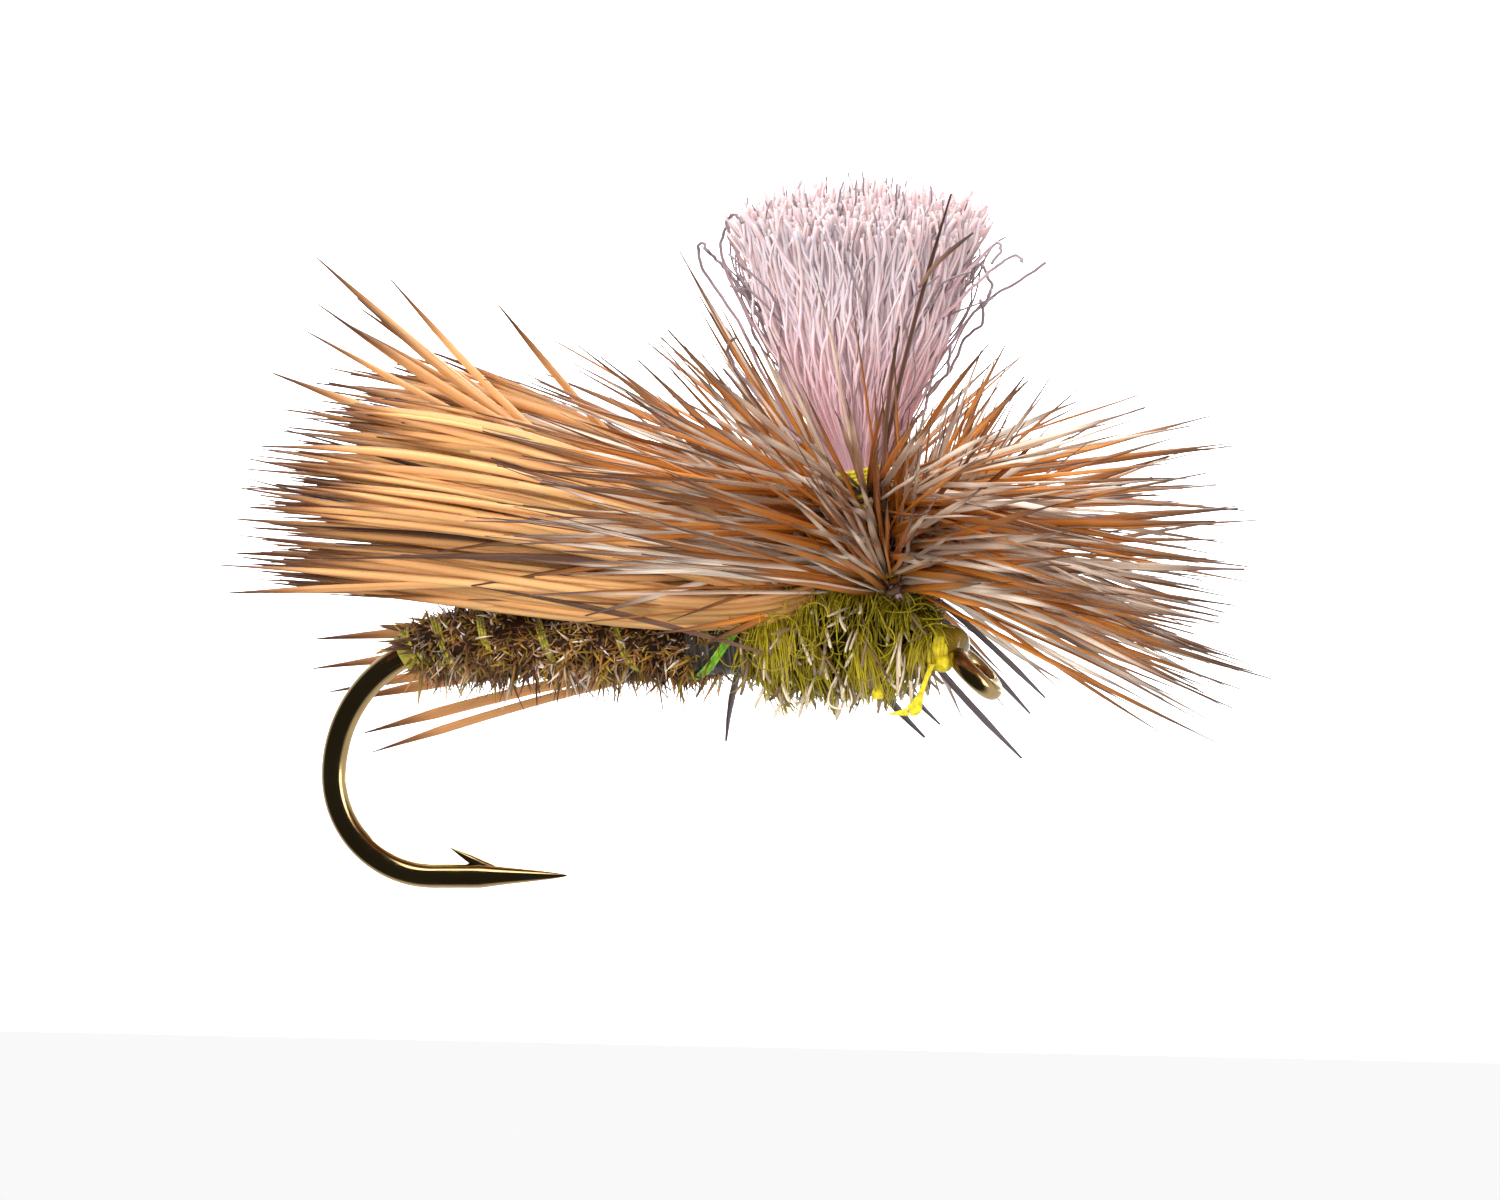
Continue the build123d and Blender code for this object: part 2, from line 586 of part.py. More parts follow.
# ---- flattened thread end left hanging under the head
with BuildPart() as thread_tag:
    with BuildSketch(Plane.XZ.offset(0.72)):
        with BuildLine():
            Polyline(
                (-0.86, 0.02),
                (-0.98, -0.36),
                (-1.12, -0.72),
                (-1.72, -0.80),
                (-1.34, -0.66),
                (-1.22, -0.30),
                (-1.08, 0.02),
                close=True,
            )
        make_face()
    extrude(amount=0.07)
save(thread_tag.part, "thread_tag")
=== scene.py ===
from math import pi, radians

import bpy
import numpy as np
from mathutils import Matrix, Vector
from numpy import arange, array, broadcast_to, clip, concatenate, cos, cross, interp, linspace
from numpy import maximum, repeat, sin, stack, where


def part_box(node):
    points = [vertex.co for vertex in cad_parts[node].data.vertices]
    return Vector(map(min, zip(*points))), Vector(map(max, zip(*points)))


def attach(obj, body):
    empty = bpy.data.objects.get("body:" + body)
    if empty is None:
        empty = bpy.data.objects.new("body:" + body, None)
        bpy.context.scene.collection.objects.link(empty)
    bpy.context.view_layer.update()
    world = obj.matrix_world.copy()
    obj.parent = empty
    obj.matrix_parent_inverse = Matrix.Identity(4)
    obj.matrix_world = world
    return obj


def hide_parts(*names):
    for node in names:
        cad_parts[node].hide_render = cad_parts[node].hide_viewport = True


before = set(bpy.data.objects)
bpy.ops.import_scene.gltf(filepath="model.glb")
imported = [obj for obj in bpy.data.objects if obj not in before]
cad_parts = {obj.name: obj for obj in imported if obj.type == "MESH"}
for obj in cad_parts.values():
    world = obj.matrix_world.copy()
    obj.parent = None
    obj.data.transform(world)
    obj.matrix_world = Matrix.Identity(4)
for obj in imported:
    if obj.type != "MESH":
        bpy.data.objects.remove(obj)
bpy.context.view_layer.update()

# A parachute caddis dry fly. Lengths below are in millimetres and MM turns them into metres.
# The hook, the thread and every bundle of fibres are built round the places of the CAD nodes.
MM = 0.001
X, Y, Z = np.eye(3)
GOLDEN_TURN = 2.39996


def node_box(node):
    """The lowest and highest corner of a CAD node, in millimetres."""
    return [array(corner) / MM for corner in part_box(node)]


# ---- places, from the frame
underbody_low, underbody_high = node_box("thread_underbody")
hook_low, _ = node_box("hook")
_, quill_high = node_box("quill_turns")
thorax_low, thorax_high = node_box("thorax_dubbing")
root_low, root_high = node_box("post_root")
tie_low, tie_high = node_box("wing_wraps")
_, brush_high = node_box("post_fibres")
whip_low, whip_high = node_box("whip_finish")
head_low, head_high = node_box("head_wraps")

WIRE_R = 0.26
EYE_WIRE_R = 0.20
EYE_RING_R = 0.35 + EYE_WIRE_R - 0.02
EYE_TILT = radians(45)
SHANK_Z = (underbody_low[2] + underbody_high[2]) / 2
BEND_X = underbody_low[0]
UPPER_R = BEND_X - hook_low[0] - WIRE_R
LOWER_R = SHANK_Z - UPPER_R - hook_low[2] - WIRE_R
LEG = 0.98
POINT = 1.86
POINT_RISE = radians(1.2)
POST_R = (root_high[1] - root_low[1]) / 2
POST_FOOT = array([root_high[0] - POST_R, 0, root_low[2] + 0.05])
POST_NECK = array([root_low[0] + POST_R, 0, root_high[2] - 0.13])
POST_DIR = (POST_NECK - POST_FOOT) / np.linalg.norm(POST_NECK - POST_FOOT)


def shank_at(x):
    """The point of the shank's axis at X."""
    return array([x, 0, SHANK_Z])


def post_at(height):
    """The point of the leaning post's axis at a distance from its foot."""
    return POST_FOOT + POST_DIR * height


# ---- colours and node trees
def srgb(r, g, b):
    """A linear colour from 0-255 display values."""
    c = array([r, g, b]) / 255.0
    c = where(c <= 0.04045, c / 12.92, ((c + 0.055) / 1.055) ** 2.4)
    return (float(c[0]), float(c[1]), float(c[2]), 1.0)


class Nodes:
    """A small helper that writes the node tree of a material or a world."""

    def __init__(self, name, kind=bpy.data.materials):
        self.owner = kind.new(name)
        self.owner.use_nodes = True
        self.tree = self.owner.node_tree
        self.shader = self.tree.nodes.get("Principled BSDF")

    def add(self, kind, **values):
        node = self.tree.nodes.new(kind)
        for key, value in values.items():
            if key in node.inputs:
                node.inputs[key].default_value = value
            else:
                setattr(node, key, value)
        return node

    def feed(self, value, socket):
        """Link another socket's output, or set a plain value."""
        if isinstance(value, (int, float, tuple)):
            socket.default_value = value
        else:
            self.tree.links.new(value, socket)

    def attribute(self, name):
        return self.add("ShaderNodeAttribute", attribute_name=name).outputs["Fac"]

    def ramp(self, fac, stops):
        """A colour ramp. A stop is a place and then 0-255 display values, or factors up to 2."""
        node = self.add("ShaderNodeValToRGB")
        elements = node.color_ramp.elements
        while len(elements) < len(stops):
            elements.new(0.5)
        for element, (place, *colour) in zip(elements, stops):
            element.position = place
            factors = isinstance(colour[0], float)
            element.color = (*(colour * (3 // len(colour))), 1) if factors else srgb(*colour)
        self.feed(fac, node.inputs["Fac"])
        return node.outputs["Color"]

    def math(self, operation, *values):
        node = self.add("ShaderNodeMath", operation=operation)
        for socket, value in zip(node.inputs, values):
            self.feed(value, socket)
        return node.outputs[0]

    def mix(self, fac, a, b, blend="MULTIPLY"):
        node = self.add("ShaderNodeMix", data_type="RGBA", blend_type=blend)
        for socket, value in ((node.inputs[0], fac), (node.inputs[6], a), (node.inputs[7], b)):
            self.feed(value, socket)
        return node.outputs[2]

    def noise(self, scale, detail):
        """Noise in the fly's own metres."""
        node = self.add("ShaderNodeTexNoise", Scale=scale, Detail=detail)
        self.feed(self.add("ShaderNodeTexCoord").outputs["Object"], node.inputs["Vector"])
        return node.outputs["Fac"]

    def lane_noise(self, values, scales):
        """Noise that runs along a fibre: its place across, its tone and its place along."""
        join = self.add("ShaderNodeCombineXYZ")
        for value, scale, socket in zip(values, scales, join.inputs):
            self.feed(self.math("MULTIPLY", value, scale), socket)
        node = self.add("ShaderNodeTexNoise", Scale=1.0, Detail=3.0)
        self.feed(join.outputs[0], node.inputs["Vector"])
        return node.outputs["Fac"]

    def bump(self, height, strength, distance):
        node = self.add("ShaderNodeBump", Strength=strength, Distance=distance)
        self.feed(height, node.inputs["Height"])
        self.feed(node.outputs[0], self.shader.inputs["Normal"])

    def finish(self, colour, **values):
        """The finished material; values are the Principled shader's own inputs."""
        self.feed(colour, self.shader.inputs["Base Color"])
        for key, value in values.items():
            self.shader.inputs[key.replace("_", " ")].default_value = value
        return self.owner


# ---- meshes
def unit(v):
    return v / maximum(np.linalg.norm(v, axis=-1, keepdims=True), 1e-9)


def mesh_object(name, points, loops, starts, look, attributes=(), node=None):
    """A smooth piece on the fly's one body. A look is material and slot, and the slot is not used; node is
    the CAD node replaced.
    """
    material, slot = look
    mesh = bpy.data.meshes.new(name)
    mesh.vertices.add(len(points))
    mesh.vertices.foreach_set("co", (points * MM).astype(np.float32).ravel())
    mesh.loops.add(len(loops))
    mesh.loops.foreach_set("vertex_index", loops.astype(np.int32))
    mesh.polygons.add(len(starts))
    mesh.polygons.foreach_set("loop_start", starts.astype(np.int32))
    mesh.update(calc_edges=True)
    mesh.polygons.foreach_set("use_smooth", np.ones(len(starts), bool))
    for key, values in attributes:
        attribute = mesh.attributes.new(key, "FLOAT", "POINT")
        attribute.data.foreach_set("value", values.astype(np.float32).ravel())
    mesh.validate()
    mesh.materials.append(material)
    piece = bpy.data.objects.new(name, mesh)
    bpy.context.scene.collection.objects.link(piece)
    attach(piece, "root")
    if node:
        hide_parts(node)


def sideways(direction):
    """Two unit vectors across each direction."""
    helper = where(np.abs(direction[..., 2:3]) < 0.9, Z, X)
    a = unit(cross(direction, helper))
    return a, cross(direction, a)


def ring_of(sides, wide, thin, flat=1.0):
    """The corners round every section: cos along wide, sin along thin."""
    phi = 2 * pi * arange(sides) / sides
    return cos(phi)[:, None] * wide[..., None, :] + flat * sin(phi)[:, None] * thin[..., None, :]


def tubes(name, paths, radii, look, tone=0.0, sides=6, flat=1.0, roll=0.0, side=None, along=None, node=None):
    """Closed tubes along N paths of K points; flat squeezes the section and side fixes its first axis.

    Three attributes feed the materials: along runs from 0 at the root to 1 at the tip, tone is one value
    for each fibre, and around is the cosine of the angle round the section.
    """
    paths = np.asarray(paths, float)
    n, k, _ = paths.shape
    radii = broadcast_to(radii, (n, k))
    tangent = unit(np.gradient(paths, axis=1))
    if side is None:
        mean = unit(paths[:, -1] - paths[:, 0])
        helper = where(np.abs(mean[:, 2:3]) < 0.8, Z, X)
        side = broadcast_to(unit(cross(mean, helper))[:, None, :], paths.shape)
    side = unit(side - (side * tangent).sum(-1, keepdims=True) * tangent)
    up = cross(tangent, side)
    roll = broadcast_to(roll, n)
    cr, sr = cos(roll)[:, None, None], sin(roll)[:, None, None]
    ring = ring_of(sides, cr * side + sr * up, -sr * side + cr * up, flat)
    points = paths[:, :, None, :] + ring * radii[:, :, None, None]
    base = (arange(n)[:, None, None] * k + arange(k - 1)[None, :, None]) * sides
    j = arange(sides)[None, None, :]
    jn = (j + 1) % sides
    quads = stack([base + j, base + jn, base + sides + jn, base + sides + j], -1).reshape(-1, 4)
    first = arange(n)[:, None] * k * sides
    root_caps = first + arange(sides)[::-1][None, :]
    tip_caps = first + (k - 1) * sides + arange(sides)[None, :]
    loops = concatenate([quads.ravel(), root_caps.ravel(), tip_caps.ravel()])
    starts = concatenate([arange(len(quads)) * 4, len(quads) * 4 + arange(2 * n) * sides])
    if along is None:
        along = broadcast_to(linspace(0, 1, k), (n, k))
    attributes = [
        ("along", repeat(along.ravel(), sides)),
        ("tone", repeat(broadcast_to(np.asarray(tone, float), n), k * sides)),
        ("around", np.tile(cos(2 * pi * arange(sides) / sides), n * k)),
    ]
    mesh_object(name, points.reshape(-1, 3), loops, starts, look, attributes, node)


def seeded(seed, steps, count=0):
    """A bundle's own random generator, even steps along its fibres, and how many there are."""
    return np.random.default_rng(seed), linspace(0, 1, steps), count


def spindle(t, root, middle, tip, thickest=0.35, fade=0.65):
    """A fibre's radius along its length: thin root, thicker middle, needle tip."""
    rise = root + (middle - root) * clip(t / thickest, 0, 1) ** 0.8
    fall = clip((1 - t) / (1 - fade), 0, 1) ** 0.85
    return maximum(rise * fall, tip)


def thickness(rng, n, t, profile, thinnest, thickest):
    """The radii of n fibres of one profile, each scaled by its own factor."""
    return spindle(t, *profile)[None] * rng.uniform(thinnest, thickest, n)[:, None]


def grown(rng, t, root, heading, length, bow=0.0):
    """Short fibres that leave their roots straight and bow towards their tips."""
    bend = (t**2)[None, :, None] * rng.normal(0, bow, (len(root), 1, 3)) if bow else 0
    return root[:, None] + heading[:, None] * (length[:, None] * t)[..., None] + bend


def sunflower(count, rng, jitter):
    """Points spread evenly in the unit disc, slightly disturbed."""
    i = arange(count)
    r = np.sqrt((i + 0.5) / count)
    a = i * GOLDEN_TURN + rng.normal(0, jitter, count) / maximum(3 * r, 0.4)
    r = clip(r + rng.normal(0, jitter * 0.12, count), 0, 1)
    return stack([r * cos(a), r * sin(a)], -1)


def waves(rng, n, t, size, turns):
    """A smooth random sideways wander for n fibres, in two directions."""
    out = np.zeros((n, len(t), 2))
    for power in (1.0, 0.5):
        f = turns / power * rng.uniform(0.7, 1.3, (n, 1, 2))
        phase = rng.uniform(0, 2 * pi, (n, 1, 2))
        out += power * sin(2 * pi * f * t[None, :, None] + phase) - power * sin(phase)
    return out * size


def smooth(line, times):
    """Round off a line's corners with its ends held."""
    for _ in range(times):
        line[1:-1] = (line[:-2] + 2 * line[1:-1] + line[2:]) / 4
    return line


def spaced(values, t, at=None):
    """Values between chosen ones, which are evenly spaced or stand at given steps."""
    return interp(t, linspace(0, 1, len(values)) if at is None else at, values)


def through(points, t, at=None, times=0):
    """A smoothed line through chosen points."""
    return smooth(stack([spaced(column, t, at) for column in np.transpose(points)], -1), times)


# ---- the body's axis: shank, then bend
def body_frame(s):
    """Point, backward tangent and up vector on the wire at a distance s behind the quill's front."""
    s = np.asarray(s, float)
    straight = quill_high[0] - BEND_X
    angle = clip((s - straight) / UPPER_R, 0, None)
    x = where(s < straight, quill_high[0] - s, BEND_X - UPPER_R * sin(angle))
    z = where(s < straight, SHANK_Z, SHANK_Z - UPPER_R * (1 - cos(angle)))
    point = stack([x, np.zeros_like(x), z], -1)
    back = stack([-cos(angle), np.zeros_like(x), -sin(angle)], -1)
    up = stack([-sin(angle), np.zeros_like(x), cos(angle)], -1)
    return point, back, up


def round_body(s, turn, radius):
    """Points at an angle round the body's axis, with 0 on top and pi/2 on the side towards -Y."""
    point, _, up = body_frame(s)
    out = cos(turn)[..., None] * up - sin(turn)[..., None] * Y
    return point + out * np.asarray(radius)[..., None], out


# ---- materials
def fibre_material(name, light, dark, rim=0.55, streak=0.5, lanes=(1.6, 53.0, 5.0), **finish):
    """Root-to-tip ramps mixed by each fibre's tone, with lengthwise streaks, painted shade along one side and
    a painted highlight along the other.
    """
    n = Nodes(name)
    along, tone, around = n.attribute("along"), n.attribute("tone"), n.attribute("around")
    base = n.mix(tone, n.ramp(along, light), n.ramp(along, dark), "MIX")
    lane = n.lane_noise((around, tone, along), lanes)
    base = n.mix(streak, base, n.ramp(lane, [(0.30, 0.58, 0.55, 0.53), (0.68, 1.30)]))
    # Painted shade along one side of each fibre's section and a painted highlight along the other: across
    # runs from the shaded side to the lit side, and rim sets how dark the shaded side is.
    painted_shade_edge, painted_highlight_edge = (0.0, rim, rim * 0.90, rim * 0.82), (1.0, rim + 0.25, rim + 0.22, rim + 0.20)
    across = n.math("MULTIPLY_ADD", around, 0.5, 0.5)
    base = n.mix(1.0, base, n.ramp(across, [painted_shade_edge, (0.25, 0.95), (0.70, 1.08), painted_highlight_edge]))
    return n.finish(base, **finish)


def hook_bronze():
    n = Nodes("bronzed_wire")
    tint = n.ramp(n.noise(900.0, 4.0), [(0.3, 170, 143, 98), (0.7, 194, 167, 118)])
    n.feed(n.ramp(n.noise(3500.0, 2.0), [(0.3, 0.12), (0.8, 0.22)]), n.shader.inputs["Roughness"])
    n.bump(n.noise(5200.0, 3.0), 0.10, 0.00001)
    return n.finish(tint, Metallic=1.0)


def thread_material(name, light, dark):
    """Waxed thread: fine lengthwise strands, a little sheen."""
    n = Nodes(name)
    strands = n.noise(9000.0, 2.0)
    colour = n.ramp(strands, [(0.32, *dark), (0.68, *light)])
    n.bump(strands, 0.5, 0.00002)
    return n.finish(colour, Roughness=0.42, Sheen_Weight=0.25)


def herl_material():
    """Dark dubbed herl: every flue takes one of several browns, purples, olives or greys; the palest greys
    are painted glints.
    """
    n = Nodes("dark_dubbing")
    along, tone, around = n.attribute("along"), n.attribute("tone"), n.attribute("around")
    hues = [
        (0.00, 46, 28, 18), (0.18, 130, 90, 46), (0.34, 92, 66, 60), (0.48, 160, 114, 62),
        (0.62, 150, 128, 40), (0.76, 104, 76, 58), (0.88, 190, 160, 118), (1.00, 206, 204, 206),
    ]
    patches = n.ramp(n.noise(1400.0, 2.0), [(0.36, 0.46, 0.44, 0.42), (0.64, 1.36, 1.26, 1.10)])
    base = n.mix(1.0, n.ramp(tone, hues), patches)
    base = n.mix(1.0, base, n.ramp(along, [(0.0, 0.45), (0.6, 1.1)]))
    lane = n.lane_noise((around, tone, along), (2.0, 61.0, 3.0))
    base = n.mix(0.5, base, n.ramp(lane, [(0.3, 0.6), (0.7, 1.3)]))
    return n.finish(base, Roughness=0.38)


def amber_material():
    """Clear amber head cement over yellow thread."""
    n = Nodes("amber_cement")
    cloud = n.noise(2600.0, 3.0)
    tint = n.ramp(cloud, [(0.3, 104, 82, 18), (0.55, 140, 114, 32), (0.75, 172, 136, 62)])
    n.bump(cloud, 0.5, 0.00004)
    clear = dict(Coat_Weight=0.8, Coat_Roughness=0.05, Transmission_Weight=0.25, IOR=1.5)
    return n.finish(tint, Roughness=0.10, **clear)


def quill_material():
    """A bare dark grey quill: fine pale lines along the strip, glossy."""
    n = Nodes("glossy_quill")
    lane = n.lane_noise([n.attribute(key) for key in ("around", "tone", "along")], (5.0, 31.0, 9.0))
    tint = n.ramp(lane, [(0.30, 26, 23, 20), (0.55, 58, 53, 48), (0.72, 104, 97, 88)])
    return n.finish(tint, Roughness=0.32, Coat_Weight=0.2, Coat_Roughness=0.15)


# A look is a material and its slot. A fibre's ramps run from root to tip, for light and for dark fibres.
BRONZE = hook_bronze(), "bronzed_wire"
OLIVE_THREAD = thread_material("olive_thread", (176, 166, 46), (112, 106, 22)), "olive_thread"
YELLOW_THREAD = thread_material("yellow_thread", (236, 218, 36), (190, 168, 14)), "yellow_thread"
GREEN_THREAD = thread_material("green_thread", (134, 196, 40), (88, 140, 22)), "olive_thread"
AMBER = amber_material(), "amber_cement"
QUILL = quill_material(), "glossy_quill"
DARK_HERL = herl_material(), "dark_dubbing"
WING = fibre_material(
    "tan_hair",
    [(0.0, 178, 120, 67), (0.10, 227, 174, 117), (0.55, 235, 183, 125), (0.84, 219, 164, 108),
     (0.905, 153, 105, 61), (0.955, 97, 63, 36), (1.0, 58, 38, 25)],
    [(0.0, 147, 94, 50), (0.10, 202, 143, 86), (0.55, 211, 153, 96), (0.80, 188, 134, 83),
     (0.875, 124, 82, 48), (0.94, 78, 52, 31), (1.0, 48, 32, 23)],
    rim=0.64, streak=0.30, Roughness=0.45,
    Subsurface_Weight=0.25, Subsurface_Scale=0.0002), "tan_hair"
DARK_HAIR = fibre_material(
    "dark_hair",
    [(0.0, 150, 116, 96), (0.5, 132, 98, 80), (1.0, 78, 56, 48)],
    [(0.0, 96, 70, 58), (0.5, 82, 60, 50), (1.0, 52, 38, 34)],
    Roughness=0.42), "tan_hair"
BROWN = fibre_material(
    "brown_hackle",
    [(0.0, 120, 66, 24), (0.30, 228, 142, 50), (0.62, 214, 136, 62), (0.80, 140, 94, 58),
     (0.92, 84, 58, 42), (1.0, 60, 44, 34)],
    [(0.0, 60, 32, 14), (0.30, 160, 92, 26), (0.62, 142, 84, 36), (0.82, 98, 66, 44), (1.0, 66, 48, 38)],
    rim=0.64, streak=0.75, lanes=(3.0, 57.0, 0.8), Roughness=0.40), "brown_hackle"
CREAM = fibre_material(
    "cream_hackle",
    [(0.0, 150, 122, 96), (0.25, 252, 240, 224), (0.50, 232, 213, 192), (0.68, 250, 236, 218),
     (0.84, 150, 124, 108), (1.0, 72, 56, 50)],
    [(0.0, 92, 68, 52), (0.25, 202, 174, 148), (0.56, 156, 126, 104), (0.72, 184, 154, 130),
     (0.86, 104, 80, 68), (1.0, 70, 54, 50)],
    rim=0.74, streak=0.75, lanes=(3.0, 57.0, 0.8), Roughness=0.36), "cream_hackle"
# The far side's hackle barbs in flat grey: a shaded copy of the hackle, painted shade.
SHADED_FAR_BARB = fibre_material(
    "painted_shade_far_barbs",
    [(0.0, 120, 100, 96), (1.0, 112, 102, 106)],
    [(0.0, 92, 76, 76), (1.0, 86, 76, 82)],
    Roughness=0.45), "cream_hackle"
# The yarn's weak emission stands in for light scattered between its many translucent fibres.
YARN_GLOW = dict(Emission_Color=(0.78, 0.62, 0.64, 1.0), Emission_Strength=0.11)
POST = fibre_material(
    "pink_post_yarn",
    [(0.0, 214, 154, 165), (0.35, 214, 174, 181), (0.65, 205, 181, 186), (1.0, 186, 172, 177)],
    [(0.0, 210, 145, 157), (0.35, 210, 166, 175), (0.65, 199, 175, 181), (1.0, 177, 163, 169)],
    rim=0.98, streak=0.10, Roughness=0.65,
    Subsurface_Weight=0.35, Subsurface_Scale=0.0005, **YARN_GLOW), "pink_post_yarn"
# Loose post fibres and side curls in a greyer, darker copy of the post yarn with darker edges: painted shade.
POST_EDGE_SHADED = fibre_material(
    "shaded_loose_post_yarn",
    [(0.0, 220, 180, 188), (0.5, 172, 154, 160), (1.0, 158, 144, 150)],
    [(0.0, 200, 162, 172), (0.5, 138, 122, 130), (1.0, 124, 112, 120)],
    rim=0.42, streak=0.35, Roughness=0.38), "pink_post_yarn"
POST_CORE = fibre_material(
    "packed_yarn",
    [(0.0, 224, 179, 190), (0.30, 222, 191, 200), (0.60, 209, 193, 201), (1.0, 180, 169, 176)],
    [(0.0, 224, 179, 190), (1.0, 180, 169, 176)],
    rim=1.0, lanes=(60.0, 1.0, 3.0), Roughness=0.6,
    Subsurface_Weight=0.5, Subsurface_Scale=0.001, **YARN_GLOW), "pink_post_yarn"
OLIVE = fibre_material(
    "olive_dubbing",
    [(0.0, 82, 69, 5), (0.45, 164, 147, 17), (1.0, 192, 175, 46)],
    [(0.0, 24, 19, 3), (0.45, 60, 50, 5), (1.0, 82, 71, 10)],
    rim=0.60, Roughness=0.45), "olive_dubbing"
GUARD = fibre_material(
    "guard_hair",
    [(0.0, 206, 182, 140), (0.6, 244, 230, 204), (1.0, 226, 206, 172)],
    [(0.0, 92, 66, 44), (0.6, 120, 88, 60), (1.0, 74, 52, 38)],
    Roughness=0.40), "guard_hair"


# ---- hook
LEG_DIR = array([cos(POINT_RISE), 0, sin(POINT_RISE)])
LEG_UP = array([-sin(POINT_RISE), 0, cos(POINT_RISE)])


def arc(x, z, radius, start, end, steps):
    """Points of an arc in the plane of the hook, with angles from the top towards +X."""
    a = linspace(start, end, steps)
    return stack([x + radius * sin(a), 0 * a, z + radius * cos(a)], -1)


def hook_path():
    """Centre line and radius of the wire from the neck round the bend to the point, and the leg's start."""
    neck_r = (SHANK_Z - EYE_RING_R * sin(EYE_TILT)) / (1 - cos(EYE_TILT))
    neck_x = -EYE_RING_R * cos(EYE_TILT) - neck_r * sin(EYE_TILT)
    neck = arc(neck_x, SHANK_Z - neck_r, neck_r, EYE_TILT, 0, 10)
    x = linspace(neck_x, BEND_X, 60)[1:]
    shank = stack([x, 0 * x, SHANK_Z + 0 * x], -1)
    upper = arc(BEND_X, SHANK_Z - UPPER_R, UPPER_R, 0, -pi / 2, 60)[1:]
    lower_x = BEND_X - UPPER_R + LOWER_R
    lower = arc(lower_x, SHANK_Z - UPPER_R, LOWER_R, -pi / 2, -pi - POINT_RISE, 60)[1:]
    taper = linspace(0, 1, 40)[1:]
    d = concatenate([linspace(0, LEG, 10)[1:], LEG + POINT * taper])
    leg = lower[-1] + d[:, None] * LEG_DIR
    path = concatenate([neck, shank, upper, lower, leg])
    radius = where(path[:, 0] > -1.6, interp(path[:, 0], [-1.45, -0.8], [WIRE_R, EYE_WIRE_R]), WIRE_R)
    radius[-len(taper):] = WIRE_R * (1 - taper) ** 0.72 * (1 - 0.1 * sin(pi * taper)) + 0.004
    return path, radius, lower[-1]


def build_hook():
    """The wire, its eye and the barb, a thick curved sliver that points back to the bend."""
    path, radius, leg_start = hook_path()
    tubes("hook_wire", path[None], radius[None], BRONZE, sides=28, node="hook")
    build_eye_ring()
    t = linspace(0, 1, 24)
    reach = spaced([1.35, 1.06, 0.82, 0.58, 0.34], t)
    height = spaced([0.09, 0.20, 0.33, 0.46, 0.60], t)
    path = smooth(leg_start + reach[:, None] * LEG_DIR + height[:, None] * LEG_UP, 4)
    radius = smooth(spaced([0.11, 0.115, 0.10, 0.055, 0.006], t), 4)
    side = broadcast_to(Y, path.shape)[None]
    tubes("hook_barb", path[None], radius[None], BRONZE, sides=18, side=side, node="hook")


def build_eye_ring(steps=96, sides=28):
    a = 2 * pi * arange(steps) / steps
    out = cos(a)[:, None] * array([cos(EYE_TILT), 0, -sin(EYE_TILT)]) + sin(a)[:, None] * Y
    path = EYE_RING_R * out
    up = cross(unit(np.roll(path, -1, 0) - np.roll(path, 1, 0)), out)
    points = path[:, None] + EYE_WIRE_R * ring_of(sides, out, up)
    i, j = np.meshgrid(arange(steps), arange(sides), indexing="ij")
    i2, j2 = (i + 1) % steps, (j + 1) % sides
    quads = stack([i * sides + j, i * sides + j2, i2 * sides + j2, i2 * sides + j], -1).reshape(-1, 4)
    starts = arange(len(quads)) * 4
    mesh_object("hook_eye_ring", points.reshape(-1, 3), quads.ravel(), starts, BRONZE, node="hook")


# ---- hair wing
WING_TIE = array([(tie_low[0] + tie_high[0]) / 2, 0, thorax_high[2] - 0.45])
WING_LOCKS = 50
LOCK_HAIRS = 5
LOOSE_HAIRS = 60
SKIRT_HAIRS = 16
WING_REACH = 12.10
WING_ROWS = 5.2


def wing_paths(uv_root, uv_tip, reach, t, rng):
    """Hairs that flare fast at the tie-in and then run back nearly side by side."""
    s = reach[:, None] * t[None, :]
    drift = (t**1.4)[None, :, None]
    uv = uv_root[:, None] * (1 - drift) + uv_tip[:, None] * drift
    rise = 2.6 * (1 - np.exp(-s / 5.2)) + 0.02 * s
    spread = 0.42 + 3.5 * (1 - np.exp(-s / 4.6))
    width = 0.42 + 2.8 * (1 - np.exp(-s / 4.0))
    y = uv[..., 0] * width
    z = WING_TIE[2] + rise + uv[..., 1] * spread * where(uv[..., 1] < 0, 0.64, 0.74)
    paths = stack([WING_TIE[0] - s, y, z], -1)
    paths[..., 1:] += waves(rng, len(reach), t, 0.055, 0.8) * t[None, :, None]
    return paths


def clear_of_body(paths, gap):
    """Push points that would lie inside the wound body out to its surface."""
    s = quill_high[0] - paths[..., 0]
    centre, _, _ = body_frame(clip(s, -3, 8.2))
    off = paths[..., 1:] - centre[..., 1:]
    r = np.linalg.norm(off, axis=-1, keepdims=True)
    inside = (s[..., None] > -0.5) & (s[..., None] < 7.4)
    grown_out = off / maximum(r, 1e-6) * maximum(r, gap)
    paths[..., 1:] = where(inside, centre[..., 1:] + grown_out, paths[..., 1:])
    return paths


